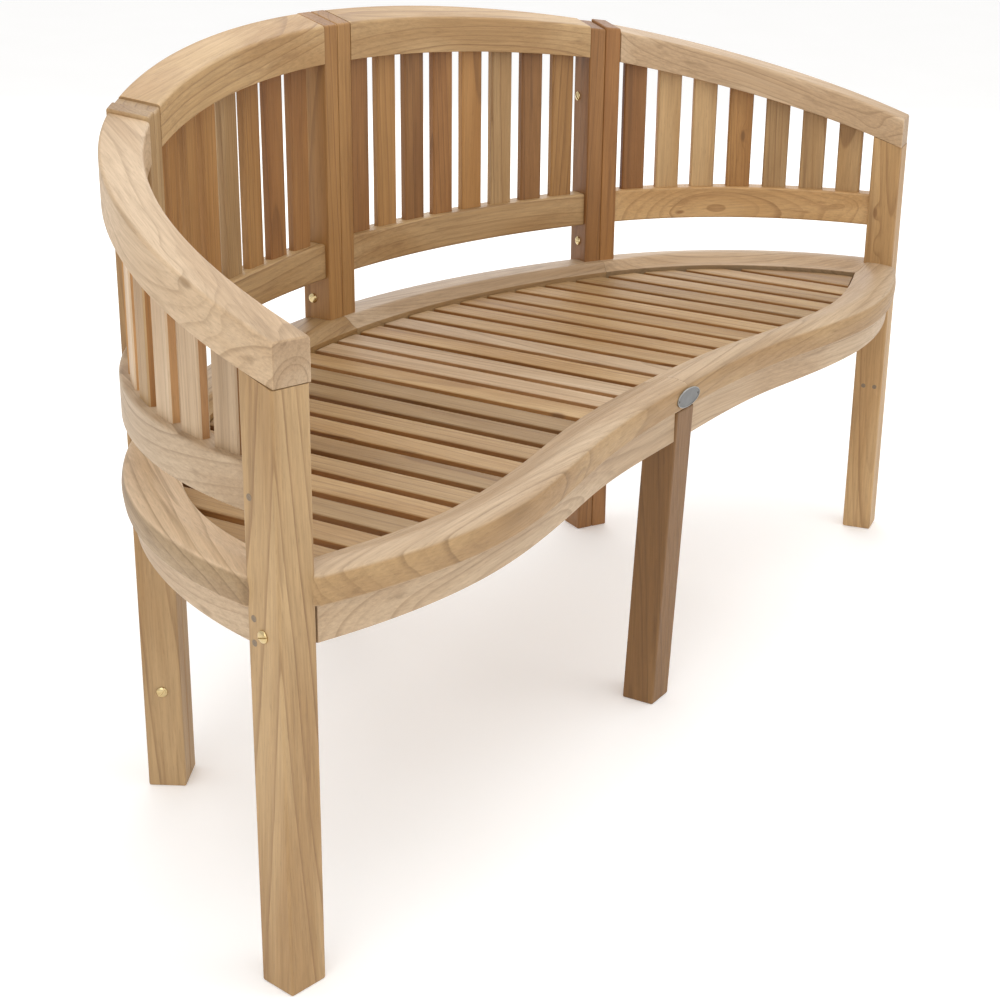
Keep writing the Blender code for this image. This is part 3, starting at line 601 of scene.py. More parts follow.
@dataclass(frozen=True)
class Teak:
    """Oiled teak, planed and sanded: growth rings cut by the saw, fine fibres and open pores, a soft sheen."""

    name: str
    axis: Vector
    centre: Vector
    ring: float = 0.0052
    figure: float = 1.0
    contrast: float = 0.5
    # Direction of the broad faces, and the colour of the painted shade on the narrow sides
    facing: Vector | None = None
    side_shade_tint: str = "E8CAA2"

    @property
    def board(self) -> Board:
        """The board's own tone and knots."""
        return BOARDS.get(self.name, Board())

    @property
    def colours(self) -> list[tuple[float, ...]]:
        """Pale wood, warm wood and dark line of the board, in linear colours, scaled by the board's lightness with
        its painted light and shade.
        """
        return [tuple(part * self.board.light for part in linear(code)[:3]) + (1.0,)
                for code in self.board.tone.value]

    def material(self) -> bpy.types.Material:
        """Builds the board's material.

        Returns:
            The material.
        """
        chance = random.Random(self.name)
        material = bpy.data.materials.new(f"oiled_teak_sanded_{self.board.tone.name.lower()}_{self.name}")
        material.use_nodes = True
        tree = material.node_tree
        tree.nodes.clear()
        coords = add_node(tree, "ShaderNodeTexCoord")
        # The board lies beside the tree's heart, turned along its own length, with a slight run-out
        tilt = Vector((chance.uniform(-0.05, 0.05), chance.uniform(-0.05, 0.05), chance.uniform(-0.05, 0.05)))
        direction = (self.axis.normalized() + tilt).normalized()
        side = direction.orthogonal().normalized()
        side.rotate(Matrix.Rotation(chance.uniform(0, 2 * math.pi), 3, direction))
        heart = self.centre + side * chance.uniform(0.035, 0.11) + direction * chance.uniform(-0.4, 0.4)
        turn = Matrix((direction, side, direction.cross(side))).transposed().to_euler()
        grain = add_node(tree, "ShaderNodeMapping", {"vector_type": "TEXTURE"},
                         {"Vector": coords.outputs["Object"], "Location": heart, "Rotation": turn})
        warped = self.warped(tree, grain.outputs["Vector"], chance)
        away = add_node(tree, "ShaderNodeVectorMath", {"operation": "LENGTH"}, {
            0: self.stretched(tree, warped, (0.0, 1.0, 1.0))}).outputs["Value"]
        along = add_node(tree, "ShaderNodeSeparateXYZ", None, {0: warped}).outputs["X"]
        # A trunk tapers, so the rings run out of the board's face in long arches
        radius = add_node(tree, "ShaderNodeMath", {"operation": "MULTIPLY_ADD"}, {
            0: along, 1: chance.uniform(-0.03, 0.03), 2: away}).outputs[0]
        heartwood = None
        for knot in self.board.knots:
            radius, near = self.bent_round(tree, coords.outputs["Object"], turn, radius, knot)
            if knot.heart > 0:
                heartwood = near
        lines, ring_luck = self.rings(tree, radius)
        drift = add_node(tree, "ShaderNodeTexNoise", None, {
            "Vector": self.stretched(tree, warped, (2.4, 16.0, 16.0)), "Scale": 1.0, "Detail": 2.0}).outputs["Fac"]
        streaks = add_node(tree, "ShaderNodeTexNoise", None, {
            "Vector": self.stretched(tree, warped, (2.2, 75.0, 75.0)), "Scale": 1.0, "Detail": 3.0}).outputs["Fac"]
        streak = add_node(tree, "ShaderNodeMapRange", None,
                          {"Value": streaks, "From Min": 0.6, "From Max": 0.72, "To Max": 0.85}).outputs["Result"]
        lines = add_node(tree, "ShaderNodeMath", {"operation": "MAXIMUM"}, {0: lines, 1: streak}).outputs[0]
        fibres = add_node(tree, "ShaderNodeTexNoise", None, {
            "Vector": self.stretched(tree, warped, (10.0, 420.0, 420.0)), "Scale": 1.0, "Detail": 3.0,
            "Roughness": 0.6}).outputs["Fac"]
        # Pores are 0.3 mm wide in real teak, drawn 0.8 mm wide so that they show
        pores = add_node(tree, "ShaderNodeTexNoise", None, {
            "Vector": self.stretched(tree, warped, (75.0, 1150.0, 1150.0)), "Scale": 1.0,
            "Detail": 1.0}).outputs["Fac"]
        pore = add_node(tree, "ShaderNodeMapRange", None,
                        {"Value": pores, "From Min": 0.6, "From Max": 0.72}).outputs["Result"]
        colour = self.colour(tree, drift, lines, ring_luck, fibres, pore)
        colour = self.end_grain(tree, coords.outputs["Normal"], direction, colour)
        # Painted shade on the narrow sides of boards that have a broad facing
        if self.facing is not None:
            colour = self.painted_side_shade(tree, coords.outputs["Normal"], colour)
        if heartwood is not None:
            colour = add_node(tree, "ShaderNodeMix", {"data_type": "RGBA"}, {
                0: heartwood, 6: colour, 7: self.colours[2]}).outputs[2]
        self.surface(tree, material, colour, lines, fibres, pore)
        return material

    def stretched(self, tree: bpy.types.NodeTree, vector: bpy.types.NodeSocket,
                  scale: tuple[float, float, float]) -> bpy.types.NodeSocket:
        """Scales the grain's coordinates along and across it."""
        return add_node(tree, "ShaderNodeVectorMath", {"operation": "MULTIPLY"}, {0: vector, 1: scale}).outputs[0]

    def warped(self, tree: bpy.types.NodeTree, vector: bpy.types.NodeSocket,
               chance: random.Random) -> bpy.types.NodeSocket:
        """Lets the grain wander sideways, widely over 300 mm and finely over 40 mm.

        Args:
            tree: the material's node tree.
            vector: the straight coordinates.
            chance: the board's own run of random numbers.

        Returns:
            The wandering coordinates.
        """
        for scale, reach in (((3.2, 9.0, 9.0), 0.030), ((22.0, 70.0, 70.0), 0.0024)):
            noise = add_node(tree, "ShaderNodeTexNoise", {"noise_dimensions": "4D"}, {
                "Vector": self.stretched(tree, vector, scale), "W": chance.uniform(0, 50), "Scale": 1.0,
                "Detail": 2.0})
            shift = add_node(tree, "ShaderNodeVectorMath", {"operation": "MULTIPLY_ADD"}, {
                0: noise.outputs["Color"], 1: (0.0, reach * self.figure, reach * self.figure),
                2: (0.0, -reach * self.figure / 2, -reach * self.figure / 2)})
            vector = add_node(tree, "ShaderNodeVectorMath", {"operation": "ADD"},
                              {0: vector, 1: shift.outputs[0]}).outputs[0]
        return vector

    def bent_round(self, tree: bpy.types.NodeTree, position: bpy.types.NodeSocket, turn: tuple,
                   radius: bpy.types.NodeSocket, knot: Knot) -> tuple[bpy.types.NodeSocket, bpy.types.NodeSocket]:
        """Bends the rings round a knot.

        Args:
            tree: the material's node tree.
            position: object coordinates.
            turn: the grain's turn.
            radius: distance from the tree's heart.
            knot: the knot.

        Returns:
            The bent distance, and the share of the knot's own dark wood.
        """
        local = add_node(tree, "ShaderNodeMapping", {"vector_type": "TEXTURE"}, {
            "Vector": position, "Location": knot.spot, "Rotation": turn,
            "Scale": (knot.across * 2.6, knot.across, knot.across)})
        far = add_node(tree, "ShaderNodeVectorMath", {"operation": "LENGTH"},
                       {0: local.outputs[0]}).outputs["Value"]
        squared = add_node(tree, "ShaderNodeMath", {"operation": "MULTIPLY"}, {0: far, 1: far}).outputs[0]
        falling = add_node(tree, "ShaderNodeMath", {"operation": "MULTIPLY"}, {0: squared, 1: -1.0}).outputs[0]
        hump = add_node(tree, "ShaderNodeMath", {"operation": "EXPONENT"}, {0: falling}).outputs[0]
        bent = add_node(tree, "ShaderNodeMath", {"operation": "MULTIPLY_ADD"},
                        {0: hump, 1: -knot.pull, 2: radius}).outputs[0]
        near = add_node(tree, "ShaderNodeMapRange", {"interpolation_type": "SMOOTHSTEP"}, {
            "Value": far, "From Min": knot.heart * 1.6 + 0.001, "From Max": knot.heart * 0.5,
            "To Min": 0.0, "To Max": 0.8}).outputs["Result"]
        return bent, near

    def rings(self, tree: bpy.types.NodeTree,
              radius: bpy.types.NodeSocket) -> tuple[bpy.types.NodeSocket, bpy.types.NodeSocket]:
        """Growth rings: each darkens towards its end, and each has its own strength.

        Args:
            tree: the material's node tree.
            radius: distance from the tree's heart.

        Returns:
            Strength of the dark line, and the ring's own random number.
        """
        count = add_node(tree, "ShaderNodeMath", {"operation": "DIVIDE"}, {0: radius, 1: self.ring}).outputs[0]
        number = add_node(tree, "ShaderNodeMath", {"operation": "FLOOR"}, {0: count}).outputs[0]
        part = add_node(tree, "ShaderNodeMath", {"operation": "FRACT"}, {0: count}).outputs[0]
        luck = add_node(tree, "ShaderNodeTexWhiteNoise", {"noise_dimensions": "1D"}, {"W": number}).outputs["Value"]
        rise = add_node(tree, "ShaderNodeMapRange", {"interpolation_type": "SMOOTHSTEP"},
                        {"Value": part, "From Min": 0.35, "From Max": 0.93}).outputs["Result"]
        sharp = add_node(tree, "ShaderNodeMath", {"operation": "POWER"}, {0: rise, 1: 2.2}).outputs[0]
        fall = add_node(tree, "ShaderNodeMapRange", None,
                        {"Value": part, "From Min": 1.0, "From Max": 0.94}).outputs["Result"]
        line = add_node(tree, "ShaderNodeMath", {"operation": "MULTIPLY"}, {0: sharp, 1: fall}).outputs[0]
        own = add_node(tree, "ShaderNodeMapRange", None, {
            "Value": luck, "From Min": 0.35, "From Max": 1.0, "To Min": 0.12, "To Max": 1.0}).outputs["Result"]
        return add_node(tree, "ShaderNodeMath", {"operation": "MULTIPLY"}, {0: line, 1: own}).outputs[0], luck

    def colour(self, tree: bpy.types.NodeTree, drift: bpy.types.NodeSocket, lines: bpy.types.NodeSocket,
               luck: bpy.types.NodeSocket, fibres: bpy.types.NodeSocket,
               pore: bpy.types.NodeSocket) -> bpy.types.NodeSocket:
        """Colour of the board from its bands, ring lines, fibres and pores.

        Args:
            tree: the material's node tree.
            drift: wide bands of tone.
            lines: strength of the dark ring lines.
            luck: each ring's own random number.
            fibres: fine streaks.
            pore: short dark pores.

        Returns:
            The colour.
        """
        pale, warm, dark = self.colours
        bands = add_node(tree, "ShaderNodeMapRange", {"interpolation_type": "SMOOTHSTEP"},
                         {"Value": drift, "From Min": 0.36, "From Max": 0.64}).outputs["Result"]
        mixed = add_node(tree, "ShaderNodeMath", {"operation": "MULTIPLY_ADD", "use_clamp": True},
                         {0: luck, 1: 0.35, 2: bands}).outputs[0]
        base = add_node(tree, "ShaderNodeMix", {"data_type": "RGBA"}, {0: mixed, 6: pale, 7: warm}).outputs[2]
        weight = add_node(tree, "ShaderNodeMath", {"operation": "MULTIPLY"},
                          {0: lines, 1: self.contrast}).outputs[0]
        ringed = add_node(tree, "ShaderNodeMix", {"data_type": "RGBA"}, {0: weight, 6: base, 7: dark}).outputs[2]
        shade = add_node(tree, "ShaderNodeMapRange", None, {
            "Value": fibres, "From Min": 0.25, "From Max": 0.75, "To Min": 0.84, "To Max": 1.12}).outputs["Result"]
        porous = add_node(tree, "ShaderNodeMath", {"operation": "MULTIPLY_ADD"},
                          {0: pore, 1: -0.13, 2: shade}).outputs[0]
        return add_node(tree, "ShaderNodeMix", {"data_type": "RGBA", "blend_type": "MULTIPLY"},
                        {0: 1.0, 6: ringed, 7: porous}).outputs[2]

    def end_grain(self, tree: bpy.types.NodeTree, normal: bpy.types.NodeSocket, direction: Vector,
                  colour: bpy.types.NodeSocket) -> bpy.types.NodeSocket:
        """Darkens and greys the sawn ends, whose open fibres drink the oil.

        Args:
            tree: the material's node tree.
            normal: the surface's direction.
            direction: the grain's direction.
            colour: the colour so far.

        Returns:
            The colour.
        """
        facing = add_node(tree, "ShaderNodeVectorMath", {"operation": "DOT_PRODUCT"},
                          {0: normal, 1: direction}).outputs["Value"]
        size = add_node(tree, "ShaderNodeMath", {"operation": "ABSOLUTE"}, {0: facing}).outputs[0]
        end = add_node(tree, "ShaderNodeMapRange", {"interpolation_type": "SMOOTHSTEP"}, {
            "Value": size, "From Min": 0.8, "From Max": 0.97, "To Max": 0.4}).outputs["Result"]
        return add_node(tree, "ShaderNodeMix", {"data_type": "RGBA", "blend_type": "MULTIPLY"},
                        {0: end, 6: colour, 7: linear("BDB3A8")}).outputs[2]

    def painted_side_shade(self, tree: bpy.types.NodeTree, normal: bpy.types.NodeSocket,
                   colour: bpy.types.NodeSocket) -> bpy.types.NodeSocket:
        """Painted shade: darkens the narrow sides of slats and boards, where shade falls.

        Args:
            tree: the material's node tree.
            normal: the surface's direction.
            colour: the colour so far.

        Returns:
            The colour.
        """
        broad = add_node(tree, "ShaderNodeVectorMath", {"operation": "DOT_PRODUCT"},
                         {0: normal, 1: self.facing.normalized()}).outputs["Value"]
        size = add_node(tree, "ShaderNodeMath", {"operation": "ABSOLUTE"}, {0: broad}).outputs[0]
        side = add_node(tree, "ShaderNodeMapRange", {"interpolation_type": "SMOOTHSTEP"},
                        {"Value": size, "From Min": 0.7, "From Max": 0.3}).outputs["Result"]
        return add_node(tree, "ShaderNodeMix", {"data_type": "RGBA", "blend_type": "MULTIPLY"},
                        {0: side, 6: colour, 7: linear(self.side_shade_tint)}).outputs[2]

    def surface(self, tree: bpy.types.NodeTree, material: bpy.types.Material, colour: bpy.types.NodeSocket,
                lines: bpy.types.NodeSocket, fibres: bpy.types.NodeSocket, pore: bpy.types.NodeSocket) -> None:
        """Sheen and fine relief of sanded and oiled wood.

        Args:
            tree: the material's node tree.
            material: the material.
            colour: the finished colour.
            lines: strength of the dark ring lines.
            fibres: fine streaks.
            pore: short dark pores.
        """
        rough = add_node(tree, "ShaderNodeMapRange", None, {
            "Value": fibres, "From Min": 0.25, "From Max": 0.75, "To Min": 0.6, "To Max": 0.46}).outputs["Result"]
        relief = add_node(tree, "ShaderNodeMath", {"operation": "MULTIPLY_ADD"},
                          {0: lines, 1: 0.5, 2: fibres}).outputs[0]
        height = add_node(tree, "ShaderNodeMath", {"operation": "MULTIPLY_ADD"},
                          {0: pore, 1: -0.8, 2: relief}).outputs[0]
        bump = add_node(tree, "ShaderNodeBump", None, {"Strength": 0.25, "Distance": 0.0006, "Height": height})
        shader = add_node(tree, "ShaderNodeBsdfPrincipled", None, {
            "Base Color": colour, "Roughness": rough, "Normal": bump.outputs["Normal"], "IOR": 1.5})
        add_node(tree, "ShaderNodeOutputMaterial", None, {"Surface": shader.outputs[0]})

    def dress(self, piece: bpy.types.Object) -> None:
        """Puts the material on a piece or on a carried-over solid.

        Args:
            piece: the piece.
        """
        material = self.material()
        if piece.material_slots:
            for slot in piece.material_slots:
                slot.material = material
        else:
            piece.data.materials.append(material)


def corner_mean(piece: bpy.types.Object) -> Vector:
    """Finds the middle of a piece's points.

    Args:
        piece: the piece.

    Returns:
        The middle.
    """
    total = Vector()
    for vert in piece.data.vertices:
        total += vert.co
    return total / len(piece.data.vertices)


@dataclass
class TopRails:
    """The four bent rails along the top of the back and the arms."""

    plan: Plan
    width: float = 0.0433
    rounding: float = 0.0038
    end_rounding: float = 0.0018
    under_rounding: float = 0.0009
    steps: int = 44

    def build(self, side: str, panel: Panel) -> None:
        """Builds one rail.

        Args:
            side: left or right.
            panel: the back or the arm.
        """
        plan = self.plan
        arm = panel is Panel.ARM
        depth = plan.arm_depth if arm else plan.crest_depth

        def place(share: float, point: Vector) -> Vector:
            """Place of a section point at a share of the rail."""
            start, end = plan.ends(panel, point.x)
            if arm:
                end = plan.hand_end(point.x)
            angle = start + (end - start) * share
            spot = plan.spot(angle, point.x)
            under = plan.rail_under(angle)
            level = point.x / self.width + 0.5
            top = plan.inner_top(angle) + (plan.outer_top(angle) - plan.inner_top(angle)) * level
            height = under + (top - under) * (point.y / depth + 0.5)
            return Vector((SIDES[side] * spot.x, spot.y, height))

        length = plan.arm_radius * plan.arm_sweep if arm else plan.back_radius * plan.back_sweep
        stations = bar_stations(length, self.steps, CUT_ROUNDING, self.end_rounding if arm else CUT_ROUNDING)
        section = bar_section(self.width, depth, self.rounding, self.under_rounding)
        name = f"{side}_{panel.value}_top_rail"
        rail = new_piece(name + "_bent", sweep(section, stations, place, (self.width, depth)), Slot.TOP_RAILS)
        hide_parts(name)
        Teak(name, lie(place), corner_mean(rail), ring=0.006, figure=0.6, contrast=0.6).dress(rail)


@dataclass
class LowerRails:
    """The four bent rails under the upright slats, and the curved aprons under the seat."""

    plan: Plan
    width: float = 0.030
    rounding: float = 0.003
    steps: int = 36
    usual_length: float = 0.5
    apron_height: float = 0.0385
    apron_thickness: float = 0.020
    apron_outer: float = 0.016
    apron_flattened: float = 0.0104
    front_rounding: float = 0.002
    front_length: float = 0.65
    front_steps: int = 48
    front_slant: float = 0.05

    def bent(self, side: str, panel: Panel, name: str, size: tuple[float, float], middle: float,
             offset: Callable[[float], float]) -> None:
        """Builds one level member between the posts of a panel.

        Args:
            side: left or right.
            panel: the back or the arm.
            name: the node that it replaces.
            size: width and height of the section.
            middle: height of its middle.
            offset: distance of its middle outside the arc, by angle.
        """
        plan = self.plan

        def place(share: float, point: Vector) -> Vector:
            """Place of a section point at a share of the member."""
            start, end = plan.ends(panel, point.x + offset(plan.back_sweep))
            angle = start + (end - start) * share
            spot = plan.spot(angle, point.x + offset(angle))
            return Vector((SIDES[side] * spot.x, spot.y, middle + point.y))

        stations = bar_stations(self.usual_length, self.steps, CUT_ROUNDING, CUT_ROUNDING)
        bm = sweep(bar_section(*size, self.rounding), stations, place, size)
        rail = new_piece(name + "_bent", bm, Slot.RAILS)
        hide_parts(name)
        Teak(name, lie(place), corner_mean(rail), ring=0.007, figure=0.5, contrast=0.6).dress(rail)

    def build(self, side: str) -> None:
        """Builds the rails and curved aprons of one side.

        Args:
            side: left or right.
        """
        plan = self.plan
        middle = plan.lower_top - plan.lower_height / 2
        size = (self.width, plan.lower_height)
        for panel in Panel:
            self.bent(side, panel, f"{side}_{panel.value}_lower_rail", size, middle, lambda angle: 0.0)
        level = plan.rim_bottom - plan.fit - (self.apron_height - plan.fit) / 2
        size = (self.apron_thickness, self.apron_height - plan.fit)
        for panel, label in ((Panel.BACK, "back"), (Panel.ARM, "side")):
            self.bent(side, panel, f"{side}_{label}_apron", size, level, self.apron_middle)

    def apron_middle(self, angle: float) -> float:
        """Distance of an apron's middle outside the rail arcs."""
        share = self.plan.share(angle)
        return self.apron_outer - self.apron_flattened * 4 * share * (1 - share) - self.apron_thickness / 2

    def build_front(self, side: str) -> None:
        """Builds the bowed front apron of one side.

        Args:
            side: left or right.
        """
        plan = self.plan
        size = (self.apron_thickness, self.apron_height - plan.fit)
        level = plan.rim_bottom - plan.fit - size[1] / 2
        first = plan.leg / 2 + plan.fit
        last = plan.beside(plan.leg_spot, plan.leg_turn, 0.0, -plan.leg / 2).x

        def place(share: float, point: Vector) -> Vector:
            """Place of a section point at a share of the apron."""
            x = first + (last - first) * share
            y = plan.front_apron(x) + self.apron_thickness / 2 - point.x
            return Vector((SIDES[side] * x, y, level + point.y))

        stations = bar_stations(self.front_length, self.front_steps, CUT_ROUNDING, CUT_ROUNDING)
        name = f"{side}_front_apron"
        bm = sweep(bar_section(*size, self.front_rounding), stations, place, size)
        apron = new_piece(name + "_bowed", bm, Slot.RAILS)
        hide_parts(name)
        grain = Vector((1.0, -self.front_slant * SIDES[side], 0.0))
        Teak(name, grain, corner_mean(apron), ring=0.006, figure=0.45, contrast=0.5).dress(apron)


@dataclass
class SeatRim:
    """The six rounded and dished boards round the seat.

    The outer edge is a curve of insets in metres and heights in shares of the board's thickness. The
    nose rounds off the lip: its shares across run on from the dish, and its drops are shares of the thickness.
    """

    plan: Plan
    lip: float = 0.63
    front_crest: float = 0.024
    back_crest: float = 0.049
    least_crest: float = 0.0241
    past_mitre: float = 1.05
    dish_steps: int = 12
    nose: tuple[tuple[float, float], ...] = ((2.975, 0.005), (2.995, 0.02), (3.0, 0.06))
    # Colours of the painted shade on the rims' upright faces: the side boards, then the front and back boards
    shaded_tint: str = "C4BEAE"
    rim_face_shade_tint: str = "E7D9BA"
    edge: tuple[tuple[float, float], ...] = (
        (0.0046, 0.0), (0.0034, 0.012), (0.0024, 0.045), (0.0017, 0.100), (0.0010, 0.216), (0.0004, 0.345),
        (0.0, 0.460), (0.0, 0.540), (0.0004, 0.640), (0.0010, 0.730), (0.0018, 0.810), (0.0027, 0.862),
        (0.0039, 0.900), (0.0056, 0.926), (0.0086, 0.946), (0.0130, 0.968), (0.0180, 0.987))
    steps: int = 40

    def section(self) -> bmesh.types.BMesh:
        """Section in shares: 0 to 1 over the rounded edge, 1 to 2 over the crest, 2 to 3 over the dish."""
        bm = bmesh.new()
        points = [(inset / self.front_crest, height) for inset, height in self.edge] + [(1.0, 1.0), (2.0, 1.0)]
        for step in range(1, self.dish_steps):
            drop = (1 - math.cos(math.pi * step / self.dish_steps)) / 2
            points.append((2 + step / self.dish_steps, 1 - (1 - self.lip) * drop))
        points += [(share, self.lip - drop) for share, drop in self.nose] + [(3.0, 0.0)]
        verts = [bm.verts.new((share, height, 0.0)) for share, height in points]
        for vert, following in zip(verts, verts[1:] + verts[:1]):
            bm.edges.new((vert, following))
        return bm

    def set_in(self, side: str, outer: Vector, lip: Vector, crest: float, point: Vector) -> Vector:
        """Place of a section point between the outer edge and the lip.

        Args:
            side: left or right.
            outer: plan place of the widest edge.
            lip: plan place of the lip.
            crest: width from the outer edge to the crest.
            point: the section's point, in shares.

        Returns:
            The place.
        """
        across = lip - outer
        width = across.length
        knees = (0.0, self.front_crest, crest, width)
        number = min(2, int(point.x))
        inset = knees[number] + (knees[number + 1] - knees[number]) * (point.x - number)
        spot = outer + across / width * inset
        return Vector((SIDES[side] * spot.x, spot.y, self.plan.rim_bottom + self.plan.rim_height * point.y))

    def finish(self, side: str, part: str, stations: list[float], place: Callable[[float, Vector], Vector]) -> None:
        """Sweeps and dresses one board.

        Args:
            side: left or right.
            part: front, side or back.
            stations: shares along the board.
            place: gives a section point's place at a share.
        """
        bm = sweep(self.section(), [(share, 0.0) for share in stations], place, (1.0, 1.0))
        name = f"{side}_{part}_rim"
        board = new_piece(name + "_dished", bm, Slot.SEAT_RIM)
        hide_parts(name)
        # Painted shade on the board's upright faces
        tint = self.shaded_tint if part == "side" else self.rim_face_shade_tint
        Teak(name, lie(place, Vector((1.5, 0.5, 0.0))), corner_mean(board), ring=0.0062, figure=0.4, contrast=0.6,
             facing=UPWARD, side_shade_tint=tint).dress(board)

    def build(self, side: str) -> None:
        """Builds the three boards of one side.

        Args:
            side: left or right.
        """
        plan = self.plan
        half = plan.fit / 2
        leg, corner = plan.leg_spot, plan.lip_corner
        reach = plan.beside(leg, plan.leg_turn, plan.leg / 2, -plan.leg / 2).x
        even = [step / self.steps for step in range(self.steps + 1)]

        def front(share: float, point: Vector) -> Vector:
            """Place on the front board, which ends in a mitre through the leg."""
            if share > 1:
                drop = Vector((0.0, -half))
                return self.set_in(side, leg + drop, corner + drop, self.front_crest, point)
            outer = half + (reach - half) * share
            lip = half + (corner.x - plan.fit - plan.leg / 4 - half) * share
            return self.set_in(side, Vector((outer, plan.front_outer(outer))),
                               Vector((lip, plan.front_lip(lip))), self.front_crest, point)

        def beside(share: float, point: Vector) -> Vector:
            """Place on the side board, whose crest narrows to the front board's over its first third."""
            if share > 1:
                rise = Vector((0.0, half))
                return self.set_in(side, leg + rise, corner + rise, self.front_crest, point)
            start = plan.back_sweep + half / plan.arm_radius
            angle = start + (plan.leg_angle - plan.leg / 2 / plan.arm_radius - start) * share
            inner = start + (plan.corner_angle - plan.leg / 4 / plan.arm_radius - start) * share
            crest = self.back_crest + (self.front_crest - self.back_crest) * min(1.0, 3 * share)
            return self.set_in(side, plan.spot(angle, plan.outer_offset(angle)),
                               plan.spot(inner, -plan.lip_offset(inner)), max(crest, self.least_crest), point)

        def behind(share: float, point: Vector) -> Vector:
            """Place on the back board, butted at both ends."""
            start = half / plan.back_radius
            angle = start + (plan.back_sweep - half / plan.back_radius - start) * share
            return self.set_in(side, plan.spot(angle, plan.outer_offset(angle)),
                               plan.spot(angle, -plan.lip_offset(angle)), self.back_crest, point)

        self.finish(side, "front", even + [self.past_mitre], front)
        self.finish(side, "side", even + [self.past_mitre], beside)
        self.finish(side, "back", even, behind)


